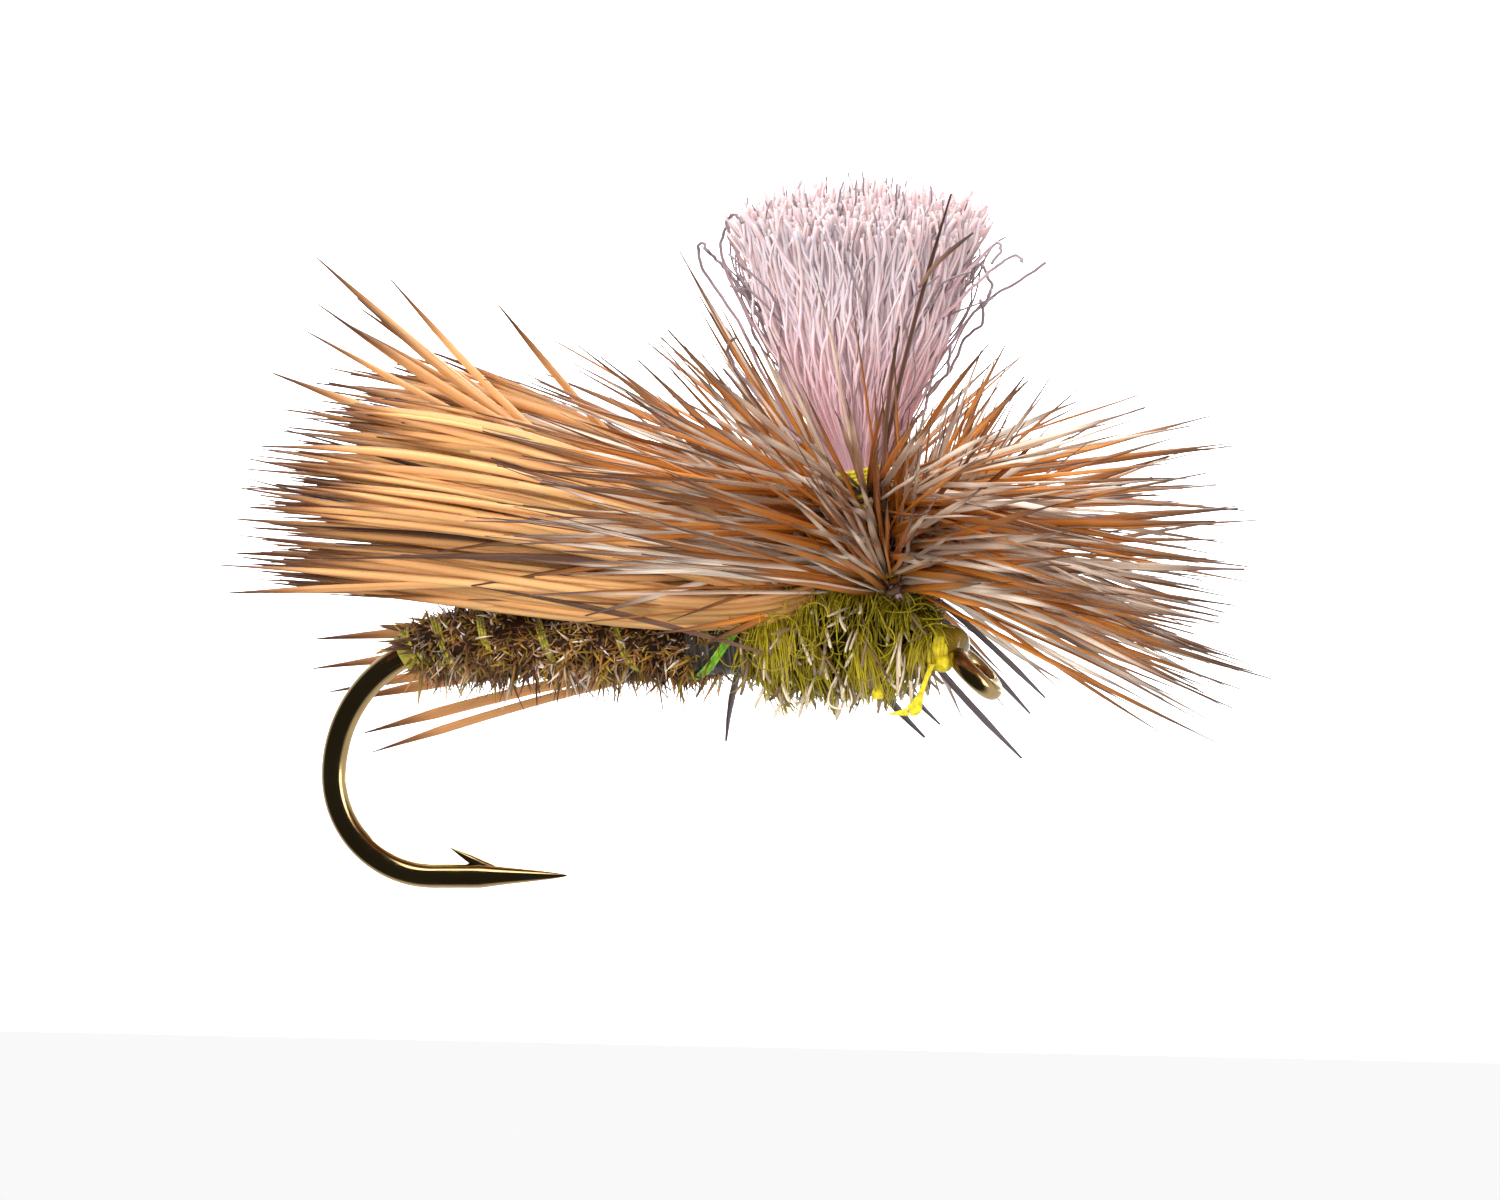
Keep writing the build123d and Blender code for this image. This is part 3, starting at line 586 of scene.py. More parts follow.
def build_wing():
    """Locks of hair whose tips gather to a point, and loose hairs that cross them."""
    rng, t, _ = seeded(21, 20)
    lock_uv = sunflower(WING_LOCKS, rng, 0.5) * 0.95
    root = repeat(lock_uv, LOCK_HAIRS, 0) + rng.normal(0, 0.10, (WING_LOCKS * LOCK_HAIRS, 2))
    shift = repeat(rng.normal(0, 0.05, (WING_LOCKS, 2)), LOCK_HAIRS, 0)
    fan = rng.normal(0, 0.064, root.shape)
    tip = repeat(lock_uv, LOCK_HAIRS, 0) * 1.04 + shift
    row = np.round(tip[:, 1] * WING_ROWS) / WING_ROWS
    tip[:, 1] += 0.72 * (row - tip[:, 1])
    tip += fan
    lock_reach = repeat(rng.uniform(0.88, 1.01, WING_LOCKS), LOCK_HAIRS)
    shorter = np.linalg.norm(fan, axis=1) * 0.7 + 0.10 * rng.random(len(root)) ** 1.2
    loose_root = sunflower(LOOSE_HAIRS, rng, 0.6)
    loose_tip = loose_root + rng.normal(0, 0.13, loose_root.shape)
    root = concatenate([root, loose_root])
    tip = concatenate([tip, loose_tip])
    scale = concatenate([lock_reach * (1 - shorter), rng.uniform(0.85, 1.0, LOOSE_HAIRS)])
    reach = WING_REACH - 1.7 * clip(tip[:, 1], 0, 1.2) ** 1.3 + 0.4 * clip(-tip[:, 1], 0, 1)
    paths = clear_of_body(wing_paths(root, tip, reach * scale, t, rng), 0.95)
    n = len(root)
    tone = clip(rng.beta(1.2, 2.6, n) + (rng.random(n) < 0.08) * 0.5, 0, 1)
    radii = thickness(rng, n, t, (0.055, 0.110, 0.016, 0.3, 0.76), 0.75, 1.20)
    roll = rng.uniform(0, pi, n)
    tubes("wing_hair_bundle", paths, radii, WING, tone, flat=0.8, roll=roll, node="wing_hairs")
    build_wing_strays()
    build_wing_skirt()


def build_wing_skirt():
    """Lowest hairs, which lie along the near side of the body before they rise to the wing's edge."""
    rng, t, n = seeded(27, 30, SKIRT_HAIRS)
    line = [
        (-3.2, -0.85, 1.35), (-4.4, -1.02, 1.00), (-6.2, -1.08, 0.92), (-8.1, -1.04, 0.98),
        (-10.3, -0.98, 1.18), (-12.4, -0.94, 1.42), (-14.2, -0.90, 1.56), (-15.2, -0.88, 1.62),
    ]
    base = through(line, t, [0, 0.10, 0.25, 0.41, 0.59, 0.77, 0.92, 1.0], 6)
    level = linspace(-0.10, 0.95, n) + rng.normal(0, 0.11, n)
    paths = repeat(base[None], n, 0)
    paths[..., 0] = WING_TIE[0] + (paths[..., 0] - WING_TIE[0]) * rng.uniform(0.74, 1.0, n)[:, None]
    paths[..., 1] -= (0.9 * clip(level, 0, 1) + rng.normal(0, 0.05, n))[:, None] * (0.35 + 0.65 * t)
    paths[..., 2] += level[:, None] * (0.55 + 0.45 * t) + rng.normal(0, 0.10, n)[:, None] * t**2
    paths[..., 1:] += waves(rng, n, t, 0.030, 0.8) * t[None, :, None]
    radii = thickness(rng, n, t, (0.055, 0.100, 0.016, 0.3, 0.86), 0.75, 1.15)
    # Most of the lowest hairs take the dark tone: partly darker hairs, partly painted shade under the wing
    # and hackle.
    tone = rng.beta(2.0, 0.9, n)
    roll = rng.uniform(0, pi, n)
    tubes("wing_skirt_hairs", clear_of_body(paths, 0.92), radii, WING, tone, flat=0.8, roll=roll)


def stray_paths(ends, t):
    """Bowed hairs from the wing's tie to chosen tips: the tip's X, Z and Y, then the bow upward."""
    rows = []
    for x, z, y, bow in ends:
        high = array([-0.4, 0.3 * np.sign(y), 0.6])
        start = WING_TIE + (high if z > 1 else array([-0.6, 0.8, -1.0]))
        bend = sin(pi * t)[:, None] * array([0, 0.5 * np.sign(y), bow])
        rows.append(start + (array([x, y, z]) - start) * t[:, None] + bend)
    return array(rows)


def build_wing_strays():
    """Longer hairs that stand above the wing, a few that slip past the body, and dark ones."""
    rng, t, _ = seeded(5, 20)
    high = [
        (-13.70, 8.45, -0.5, -0.65), (-13.20, 7.95, -0.2, -0.60), (-12.80, 7.65, -0.8, -0.55),
        (-12.95, 7.35, 0.3, -0.40), (-13.65, 7.55, -0.9, -0.35), (-12.15, 8.05, -0.6, -1.00),
        (-10.10, 7.45, 0.6, -0.90), (-13.50, 7.05, 0.9, -0.15), (-13.90, 7.00, -1.0, -0.10),
        (-14.50, 6.10, -1.2, 0.10), (-13.10, 7.30, -1.5, -0.20), (-15.25, 3.10, -1.6, 0.15),
        (-15.30, 1.60, -2.0, 0.10), (-15.35, 2.30, -0.8, 0.15),
    ]
    low = [
        (-14.30, -0.40, 2.1, 0.25), (-13.95, -0.88, 2.0, 0.25), (-13.15, -1.70, 1.8, 0.20),
        (-12.95, -2.08, 1.6, 0.20), (-14.30, 0.20, 2.3, 0.25), (-13.75, -1.12, 2.6, 0.20),
    ]
    paths = clear_of_body(stray_paths(high + low, t), 0.95)
    n = len(paths)
    radii = thickness(rng, n, t, (0.05, 0.096, 0.016, 0.35, 0.86), 0.75, 1.1)
    radii[len(high):] = thickness(rng, len(low), t, (0.05, 0.122, 0.014, 0.35, 0.84), 0.85, 1.1)
    tubes("wing_stray_hairs", paths, radii, WING, rng.random(n) * 0.6)
    dark = [
        (-15.5, 4.1, -1.8, -0.25), (-10.6, 1.7, -2.4, 0.1), (-14.9, 5.2, -1.9, 0.1),
        (-13.2, 2.4, -2.6, 0.25), (-14.6, 3.1, -2.4, 0.2),
    ]
    paths = clear_of_body(stray_paths(dark, t), 1.0)
    paths[1] = through([(-4.2, -1.5, 0.50), (-10.17, -2.2, 1.85)], t) + 0.12 * sin(pi * t)[:, None] * Z
    radii = thickness(rng, len(dark), t, (0.04, 0.075, 0.008, 0.4, 0.6), 0.8, 1.1)
    tubes("wing_dark_hairs", paths, radii, DARK_HAIR, rng.random(len(dark)))


# ---- post
POST_COUNT = 2300
LOOSE_FIBRES = 70
CROWN_FIBRES = 130
BOUND_FIBRES = 90
BRUSH_TOP = brush_high[2]


def brush_r(rise):
    """The brush's radius at a height above the bound neck."""
    heights = [0, 0.5, 1.1, 1.8, 2.45, 3.1, 3.7, 4.4, 5.4]
    return interp(rise, heights, [0.54, 0.78, 1.03, 1.30, 1.56, 1.82, 2.05, 2.30, 2.58])


def brush_x(rise):
    """The X of the brush's axis at a height above the bound neck."""
    return POST_NECK[0] - 0.05 * clip(rise, 0, 2) + 0.02 * rise


def post_paths(rng, uv, t, extra):
    """Crinkled fibres that leave the bound neck, flare like a cup and end in a ragged flat top."""
    n = len(uv)
    rim = np.linalg.norm(uv, axis=1)
    top = BRUSH_TOP - 0.30 - 0.50 * clip(rim, 0, 1) ** 4 - 0.50 * rng.random(n) ** 1.5 - extra * 1.2
    top += 0.28 * (rng.random(n) < 0.10)
    start_z = POST_NECK[2] - 0.3
    z = start_z + (top - start_z)[:, None] * t[None, :]
    rise = clip(z - POST_NECK[2], 0, None)
    flare = brush_r(rise) + extra[:, None] * 0.055 * rise**1.8
    lean = clip(POST_NECK[2] - z, 0, None) * (-POST_DIR[0] / POST_DIR[2])
    x = brush_x(rise) + lean + uv[:, :1] * flare
    paths = stack([x, uv[:, 1:] * flare, z], -1)
    loose = clip(rise / 3.0, 0, 1)[..., None] ** 0.7
    fine = waves(rng, n, t, 0.009, 7.0)
    broad = waves(rng, n, t, 0.100, 1.1) * (0.7 + 0.9 * rim[:, None, None] ** 2 + extra[:, None, None])
    ends = (clip(t - 0.80, 0, 1) / 0.20)[None, :, None] ** 2 * rng.normal(0, 0.15, (n, 1, 2))
    paths[..., :2] += (fine + broad) * loose + ends
    return paths


def build_post():
    """The brush in bands from its middle to its rim, its loose fibres, its bound root and its core."""
    rng, t, _ = seeded(9, 32)
    uv = sunflower(POST_COUNT, rng, 0.3)
    uv *= (np.linalg.norm(uv, axis=1) ** -0.20)[:, None]
    rim = np.linalg.norm(uv, axis=1)
    edges = (0, 0.53, 0.69, 0.81, 0.91, 2)
    for band, low, high in zip(("inner", "middle", "outer", "edge", "rim"), edges, edges[1:]):
        chosen = (rim >= low) & (rim < high)
        n = chosen.sum()
        paths = post_paths(rng, uv[chosen], t, np.zeros(n))
        radii = rng.uniform(0.027, 0.044, n)[:, None] * (0.88 + 0.34 * t[None, :] ** 2)
        roll = rng.uniform(0, pi, n)
        tone = rng.beta(1.3, 2.0, n)
        tubes("post_brush_" + band, paths, radii, POST, tone, 5, 0.6, roll, node="post_fibres")
    n = LOOSE_FIBRES
    angle = rng.normal(0, 0.75, n) + pi * rng.integers(0, 2, n)
    rim_uv = stack([cos(angle), sin(angle)], -1) * rng.uniform(0.85, 1.05, (n, 1))
    loose = post_paths(rng, rim_uv, t, rng.uniform(0.05, 1.0, n) ** 1.5)
    loose[..., 2] -= (clip(t - 0.72, 0, 1) ** 2)[None, :] * rng.uniform(0, 6, n)[:, None]
    n = CROWN_FIBRES
    crown = post_paths(rng, sunflower(n, rng, 0.6), t, np.zeros(n))
    crown[..., 2] += (t * 0.32)[None, :] * rng.random(n)[:, None]
    paths = concatenate([loose, crown])
    tone = rng.random(len(paths)) * 0.5
    tubes("post_stray_fibres", paths, 0.036, POST_EDGE_SHADED, tone, 5, 0.6, node="post_fibres")
    n = BOUND_FIBRES
    root_uv = sunflower(n, rng, 0.2) * (POST_R - 0.04)
    side, up = sideways(POST_DIR[None])
    start = POST_FOOT + root_uv[:, :1] * side + root_uv[:, 1:] * up
    paths = start[:, None] + (POST_NECK - POST_FOOT) * linspace(0, 1, 12)[None, :, None]
    tubes("post_bound_root", paths, 0.055, POST, rng.random(n), node="post_root")
    build_post_core()
    build_post_curls()
    build_post_hairs()


def build_post_core():
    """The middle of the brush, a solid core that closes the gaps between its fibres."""
    # The core's pale colour and weak glow paint light into the gaps between the fibres, where they would show
    # shade.
    z = linspace(POST_NECK[2] - 0.2, BRUSH_TOP - 1.25, 40)
    flare = brush_r(clip(z - POST_NECK[2], 0, None)) * 0.95 - 0.05
    radius = flare * clip((z[-1] + 0.05 - z) / 0.7, 0, 1) ** 0.4
    path = stack([brush_x(z - POST_NECK[2]), 0 * z, z], -1)
    tubes("post_packed_core", path[None], radius[None], POST_CORE, sides=160, node="post_fibres")


def build_post_curls():
    """Single fibres that curl out of the brush on both sides, each through chosen X and Z."""
    rng, t, _ = seeded(11, 48)
    lines = [
        [(-3.6, 4.9), (-4.4, 6.3), (-4.9, 7.4), (-5.5, 8.1), (-5.75, 8.7), (-5.6, 8.95), (-5.45, 8.7)],
        [(-4.2, 6.6), (-4.9, 7.7), (-5.3, 8.6), (-5.2, 9.15), (-4.95, 9.2)],
        [(-4.4, 7.2), (-5.1, 8.2), (-5.45, 8.55), (-5.6, 8.75)],
        [(-3.5, 4.8), (-4.2, 5.5), (-4.9, 6.3), (-5.05, 6.75), (-4.85, 6.95)],
        [(-4.5, 8.2), (-5.0, 8.9), (-5.1, 9.35), (-4.9, 9.5), (-4.7, 9.3)],
        [(-0.9, 6.2), (-0.2, 7.3), (0.35, 7.8), (0.9, 8.1), (1.45, 8.5)],
        [(-0.6, 7.4), (0.1, 8.1), (0.55, 8.5), (0.95, 8.75), (1.1, 8.6)],
        [(-0.5, 7.9), (0.25, 8.7), (0.55, 9.0), (0.65, 8.8), (0.45, 8.55)],
        [(-1.0, 5.7), (-0.5, 6.3), (-0.3, 6.9), (0.15, 7.2), (0.1, 7.7)],
        [(-0.4, 8.3), (0.1, 8.5), (0.35, 8.0), (0.2, 7.6)],
        [(-1.6, 4.9), (-1.0, 5.4), (-0.9, 5.9), (-0.5, 6.2), (-0.45, 6.8)],
    ]
    paths = []
    for line in lines:
        x, z = through(line, t, times=14).T
        paths.append(stack([x, rng.uniform(-1.0, 0.2) + 0.25 * sin(pi * t), z], -1))
    paths = array(paths)
    paths[..., :2] += waves(rng, len(lines), t, 0.014, 5.0)
    tone = rng.random(len(lines)) * 0.5
    tubes("post_side_curls", paths, 0.054, POST_EDGE_SHADED, tone, flat=0.7, node="post_fibres")


def build_post_hairs():
    """Three dark hairs caught in the brush."""
    t = linspace(0, 1, 16)
    ends = [
        ((-1.9, -1.5, 3.4), (-0.05, -3.15, 10.15)),
        ((-0.75, -2.9, 8.2), (0.40, -3.1, 9.35)),
        ((-1.7, -1.3, 3.2), (-1.15, -2.9, 7.4)),
    ]
    paths = array([through(pair, t) for pair in ends])
    paths[..., 0] -= 0.12 * sin(pi * t)
    radii = spindle(t, 0.035, 0.050, 0.025, 0.3, 0.8)
    tubes("post_dark_hairs", paths, radii, (DARK_HAIR[0], "brown_hackle"), [0.8, 0.5, 0.3])


# ---- hackle
HUB_LOW = post_at(0.90)
HUB = post_at(3.2) - HUB_LOW
BARB_ROOT_R = 0.64
BARB_COUNT = 380
STEM_R = 0.665
STEM_TURNS = 5.2


def hackle_paths(rng, n, t):
    """Barbs round the post: raised over the wing behind, level or drooping in front, a few steep."""
    azimuth = arange(n) * GOLDEN_TURN + rng.normal(0, 0.14, n)
    level = rng.random(n)
    behind = -cos(azimuth)
    lift = -1 + 12 * behind + 18 * (level - 0.45) + rng.normal(0, 12, n)
    steep = rng.random(n) < 0.15
    near = clip(-sin(azimuth), 0, 1) ** 1.5
    lowest = where(behind < 0, -31.0, -6.0) * (1 - near) + 8.0 * near
    highest = where(behind < 0, 14, 19) + 10 * np.abs(sin(azimuth)) ** 1.5 + 4 * rng.random(n)
    lift = where(lift < lowest, lowest + 16 * rng.random(n) ** 1.5, lift)
    lift = where(lift > highest, highest - 18 * rng.random(n) ** 1.5, lift)
    lift = np.radians(where(steep, rng.uniform(32, 70, n), lift))
    heading = stack([cos(lift) * cos(azimuth), cos(lift) * sin(azimuth), sin(lift)], -1)
    hub = HUB_LOW + HUB * (level * where(steep, 0.5, 1.0))[:, None]
    root = hub + unit(heading - (heading @ POST_DIR)[:, None] * POST_DIR) * BARB_ROOT_R
    length = rng.uniform(6.3, 7.6, n) + 0.8 * clip(behind, 0, 1)
    length *= 1 - 0.30 * (rng.random(n) < 0.15)
    length = where(steep, rng.uniform(3.6, 5.4, n) + 2.2 * clip(behind, 0, 1), length)
    a, b = sideways(heading)
    bow = (sin(pi * t * 0.5) ** 2)[None, :, None] * rng.normal(0, 0.13, (n, 1, 1)) * b[:, None]
    turn = (t**2)[None, :, None] * rng.normal(0, 0.16, (n, 1, 1)) * a[:, None]
    wander = waves(rng, n, t, 0.012, 1.0)
    path = grown(rng, t, root, heading, length) + bow + turn
    return path + wander[..., :1] * a[:, None] + wander[..., 1:] * b[:, None], steep


def build_hackle(name, seed, look, node):
    rng, t, n = seeded(seed, 15, BARB_COUNT)
    paths, steep = hackle_paths(rng, n, t)
    tone = where(steep, rng.uniform(0.4, 1.0, n), rng.beta(1.0, 1.2, n))
    radii = thickness(rng, n, t, (0.044, 0.080, 0.014, 0.18, 0.66), 0.55, 1.15)
    radii *= where(steep, 0.72, 1.0)[:, None]
    tubes(name, paths, radii, look, tone, flat=0.42, roll=rng.uniform(0, pi, n), node=node)


def build_far_barbs():
    """Barbs of the far side that droop behind the thorax and show below it, grey with painted shade."""
    rng, t, _ = seeded(63, 17)
    lines = [
        [(-5.2, 1.9, 2.2), (-5.62, 2.6, -1.83)], [(-3.9, 1.6, 0.9), (-1.45, 2.8, -1.70)],
        [(-3.4, 1.6, 1.0), (-1.10, 2.6, -1.40)], [(-2.5, 1.5, 1.3), (0.59, 2.8, -2.10)],
        [(-1.5, 1.4, 1.7), (0.83, 2.4, -1.12)], [(-1.3, 1.3, 1.9), (1.14, 2.4, -0.78)],
        [(-4.2, 1.6, 1.2), (-3.3, 2.7, -1.30)], [(-4.9, 1.8, 1.6), (-6.3, 2.9, -0.95)],
    ]
    bend, end = array(lines).transpose(1, 0, 2)
    start = HUB_LOW + array([0, 0.55, 0.1])
    u = t[None, :, None]
    paths = (1 - u) ** 2 * start + 2 * u * (1 - u) * bend[:, None] + u**2 * end[:, None]
    radii = thickness(rng, len(lines), t, (0.045, 0.078, 0.026, 0.12, 0.90), 0.80, 1.05)
    tubes("far_side_barbs", paths, radii, SHADED_FAR_BARB, rng.random(len(lines)))


def build_outline_barbs():
    """The longest barbs, which set the outline of the fan on both sides of the post."""
    rng, t, _ = seeded(64, 17)
    ends = array([
        (-6.08, -0.60, 8.71), (-6.75, -1.00, 7.22), (-6.78, -1.60, 6.52), (-6.20, -1.40, 7.14),
        (-5.70, -0.40, 7.77), (-5.64, -2.20, 6.48), (-8.44, -1.80, 6.55), (-9.48, -1.20, 6.29),
        (-7.93, 0.60, 6.37), (-6.90, -2.40, 5.92), (-4.81, -2.60, 6.86), (0.89, -0.80, 7.16),
        (1.28, -1.20, 6.18), (1.02, -2.00, 6.46), (0.53, -1.60, 6.98), (2.52, -1.40, 5.21),
        (1.88, -2.40, 5.34), (4.42, -0.80, 5.05), (4.27, -1.80, 4.72), (5.59, -1.00, 3.58),
        (5.81, -1.60, 2.39), (5.41, -2.00, 1.22), (6.10, -1.20, -0.76), (5.29, -2.20, -1.11),
        (4.43, -2.60, -1.02), (5.31, -0.40, 0.47), (5.04, -2.80, -0.13), (3.69, -3.00, -0.30),
        (-10.22, -1.90, 1.82), (-8.85, -2.30, 1.64), (-7.79, -2.20, 1.27), (-6.52, -2.00, 0.88),
        (-6.04, -2.40, 1.20), (-5.46, -1.90, 0.63), (-10.80, -2.60, 2.59),
    ])
    n = len(ends)
    start = HUB_LOW + HUB * rng.uniform(0.1, 0.6, (n, 1))
    heading = unit(ends - start)
    start = start + heading * 0.62
    a, b = sideways(heading)
    bend = rng.normal(0, 0.10, (n, 1, 1)) * a[:, None] + rng.normal(0, 0.14, (n, 1, 1)) * b[:, None]
    paths = start[:, None] + (ends - start)[:, None] * t[None, :, None] + sin(pi * t)[None, :, None] * bend
    radii = thickness(rng, n, t, (0.048, 0.080, 0.018, 0.18, 0.74), 0.75, 1.1)
    tone = rng.random(n)
    brown = arange(n) % 5 != 0
    for name, chosen, look in (("outline_barbs_brown", brown, BROWN), ("outline_barbs_cream", ~brown, CREAM)):
        roll = rng.uniform(0, pi, chosen.sum())
        tubes(name, paths[chosen], radii[chosen], look, tone[chosen], flat=0.42, roll=roll)


def build_stems():
    """Two feather stems wound together up the post's base, and their butts along the shank."""
    t = linspace(0, 1, 260)
    u, v = sideways(POST_DIR[None])
    for name, node, phase, look in (
        ("hackle_stem_a", "hackle_stem_brown", 0.0, BROWN),
        ("hackle_stem_b", "hackle_stem_grizzly", pi, CREAM),
    ):
        a = 2 * pi * STEM_TURNS * t + phase
        out = cos(a)[:, None] * u + sin(a)[:, None] * v
        path = HUB_LOW + HUB * t[:, None] + out * STEM_R
        tubes(name, path[None], 0.085 - 0.03 * t[None], look, 0.9, 8, side=out[None], node=node)
    x = linspace(POST_FOOT[0], POST_FOOT[0] - 1.5, 20)
    paths = [stack([x, y + 0 * x, SHANK_Z - 0.20 + 0 * x], -1) for y in (-0.34, 0.34)]
    tubes("hackle_stem_butts", paths, 0.07, BROWN, [0.3, 0.6], 8, node="hackle_butts")


# ---- thorax
THORAX_Z = (thorax_low[2] + thorax_high[2]) / 2 + 0.14
MAT_FIBRES = 3300
MAT_LOCKS = 110
TOP_FIBRES = 520
SPIKES = 620
CURLS = 90
GUARD_HAIRS = 260


def thorax_r(x):
    """The thorax's radius at X, thickest in its middle."""
    middle = (thorax_low[0] + thorax_high[0]) / 2
    half = (thorax_high[0] - thorax_low[0]) / 2
    return 1.10 - 0.40 * clip((x - middle) / half, -1.3, 1.3) ** 2


def build_thorax():
    """Fine fibres combed down both sides over a near-black core that paints the shade between them, with
    spikes, curls and stiff hairs.
    """
    rng, t, n = seeded(33, 7, MAT_FIBRES)
    lock = rng.integers(0, MAT_LOCKS, n)
    x0 = rng.uniform(thorax_low[0] + 0.05, thorax_high[0] + 0.42, MAT_LOCKS)[lock] + rng.normal(0, 0.12, n)
    x0 = clip(x0, thorax_low[0] + 0.02, thorax_high[0] + 0.45)
    slant = rng.normal(0, 0.24, MAT_LOCKS)[lock] + rng.normal(0, 0.09, n)
    half = where(rng.random(MAT_LOCKS) < 0.5, 1, -1)[lock]
    start = (rng.uniform(-0.02, 0.80, MAT_LOCKS) * pi)[lock] + rng.normal(0, 0.16, n)
    sweep = rng.uniform(0.45, 1.25, n) * where(rng.random(n) < 0.95, 1, -1)
    lift = rng.gamma(1.6, 0.045, n) + rng.gamma(1.5, 0.045, MAT_LOCKS)[lock]
    x = x0[:, None] + slant[:, None] * t + waves(rng, n, t, 0.010, 1.0)[..., 0]
    a = (start[:, None] + sweep[:, None] * t) * half[:, None]
    r = thorax_r(x) - 0.05 + lift[:, None] * (0.3 + 1.9 * t**2) + waves(rng, n, t, 0.008, 1.0)[..., 1]
    paths = stack([x, -r * sin(a), THORAX_Z + r * cos(a)], -1)
    radii = thickness(rng, n, t, (0.012, 0.018, 0.005, 0.2, 0.6), 0.6, 1.5)
    # The lower a fibre lies over the core, the darker its tone: painted shade deep in the dubbing.
    tone = rng.beta(0.6, 0.8, MAT_LOCKS)[lock] * 0.55 + rng.normal(0.10, 0.24, n) + (0.16 - lift) * 2.6
    tubes("thorax_fibre_mat", paths, radii, OLIVE, clip(tone, 0, 1), 4, node="thorax_dubbing")
    # The core takes the darkest olive all along: a near-black sheet that paints the shade between the fibres.
    x = linspace(thorax_low[0], thorax_high[0] + 0.35, 40)
    core = stack([x, 0 * x, THORAX_Z + 0 * x], -1)[None]
    radius = maximum(thorax_r(x) - 0.16, 0.2)[None]
    tubes("thorax_painted_shade_core", core, radius, OLIVE, 1.0, 48, along=0 * radius)
    build_post_dubbing()
    build_thorax_spikes()
    build_thorax_curls()
    build_guard_hairs()


def build_post_dubbing():
    """Dubbing packed round the foot of the post, which closes the top of the thorax."""
    rng, t, n = seeded(39, 6, TOP_FIBRES)
    a = rng.uniform(0, 2 * pi, n)
    side, up = sideways(POST_DIR[None])
    out = cos(a)[:, None] * side + sin(a)[:, None] * up
    root = post_at(rng.uniform(0.0, 1.15, (n, 1))) + out * 0.5
    heading = unit(out * rng.uniform(0.4, 1.0, (n, 1)) - 0.6 * Z + rng.normal(0, 0.45, (n, 3)))
    paths = grown(rng, t, root, heading, rng.uniform(0.25, 0.65, n), 0.08)
    radii = thickness(rng, n, t, (0.020, 0.024, 0.006, 0.2, 0.6), 0.6, 1.3)
    tubes("thorax_top_dubbing", paths, radii, OLIVE, rng.uniform(0.35, 1.0, n), 4)


def thorax_roots(rng, n, low, high, sunk):
    """Points just inside the thorax's surface, between two angles from its top, and the way out."""
    x0 = rng.uniform(thorax_low[0] + 0.08, thorax_high[0] + 0.30, n)
    a = rng.uniform(low * pi, high * pi, n)
    out = stack([0 * a, -sin(a), cos(a)], -1)
    return stack([x0, 0 * a, THORAX_Z + 0 * a], -1) + out * (thorax_r(x0) - sunk)[:, None], out


def hanging(rng, out, least, fall):
    """Directions out of the thorax that gravity and the comb turn down."""
    n = len(out)
    return unit(out * rng.uniform(least, 0.8, n)[:, None] - fall * Z + rng.normal(0, 0.28, (n, 3)))


def build_thorax_spikes():
    """Short yellow-olive spikes that hang below the thorax."""
    rng, t, n = seeded(37, 6, SPIKES)
    root, out = thorax_roots(rng, n, 0.55, 1.45, 0.10)
    heading = hanging(rng, out, 0.15, 1.0)
    paths = grown(rng, t, root, heading, rng.gamma(2.2, 0.095, n).clip(0.10, 1.25), 0.10)
    radii = thickness(rng, n, t, (0.018, 0.024, 0.005, 0.2, 0.5), 0.6, 1.4)
    tubes("thorax_spikes", paths, radii, OLIVE, rng.beta(0.9, 1.6, n), 4)


def build_thorax_curls():
    """Fine curling strands that stand off the thorax's upper side."""
    rng, t, n = seeded(38, 26, CURLS)
    root, out = thorax_roots(rng, n, 0.10, 0.62, 0.08)
    size = rng.uniform(0.12, 0.46, n)[:, None, None]
    sweep = rng.uniform(2.0, 5.5, n)[:, None] * rng.choice([-1, 1], n)[:, None] * t
    phase = rng.uniform(0, 2 * pi, n)[:, None]
    arc_x = (cos(sweep + phase) - cos(phase))[..., None] * X
    arc_up = (sin(sweep + phase) - sin(phase))[..., None] * cross(out, X)[:, None]
    stand = out[:, None] * (sin(pi * t * 0.8)[None, :, None] * rng.uniform(0.15, 0.45, (n, 1, 1)))
    drift = t[None, :, None] * rng.normal(0, 0.25, (n, 1, 3))
    paths = root[:, None] + size * (arc_x + arc_up) + stand + drift
    tubes("thorax_curls", paths, 0.012, OLIVE, rng.random(n) * 0.5, 4)


def build_guard_hairs():
    """Stiff cream, tan and brown hairs with blunt ends, and one pale loop below."""
    rng, t, n = seeded(34, 9, GUARD_HAIRS)
    root, out = thorax_roots(rng, n, 0.14, 1.8, 0.0)
    heading = hanging(rng, out, 0.20, 0.9)
    length = rng.uniform(0.35, 1.15, n) * (1 - 0.45 * clip(-out[:, 2], 0, 1))
    paths = grown(rng, t, root, heading, length, 0.12)
    radii = thickness(rng, n, t, (0.028, 0.034, 0.022, 0.2, 0.88), 0.6, 1.30)
    tone = where(rng.random(n) < 0.5, rng.uniform(0, 0.25, n), rng.uniform(0.6, 1.0, n))
    tubes("thorax_guard_bristles", paths, radii, GUARD, tone, 5, node="thorax_guard_hairs")
    u = linspace(-1, 1, 40)
    loop = stack([-2.7 + 0.24 * sin(pi * u), -0.75 + 0.05 * u, -0.72 + 0.85 * np.abs(u) ** 2.2], -1)
    tubes("thorax_pale_loop", loop[None], 0.024, GUARD)


# ---- abdomen
BODY_LENGTH = quill_high[0] - BEND_X + UPPER_R * radians(24)
RIB_PLACES = [0.62, 2.5, 4.1, 5.35, 6.25, 6.75]
FLUES = 4600
HERL_TIPS = 26


def body_r(s):
    """The abdomen's radius, pinched at each turn of the rib."""
    pinch = sum(0.09 * np.exp(-(((s - p) / 0.16) ** 2)) for p in RIB_PLACES[1:])
    ends = 0.20 * clip((s - BODY_LENGTH + 0.6) / 0.6, 0, 1) ** 2
    return 0.70 - pinch - ends


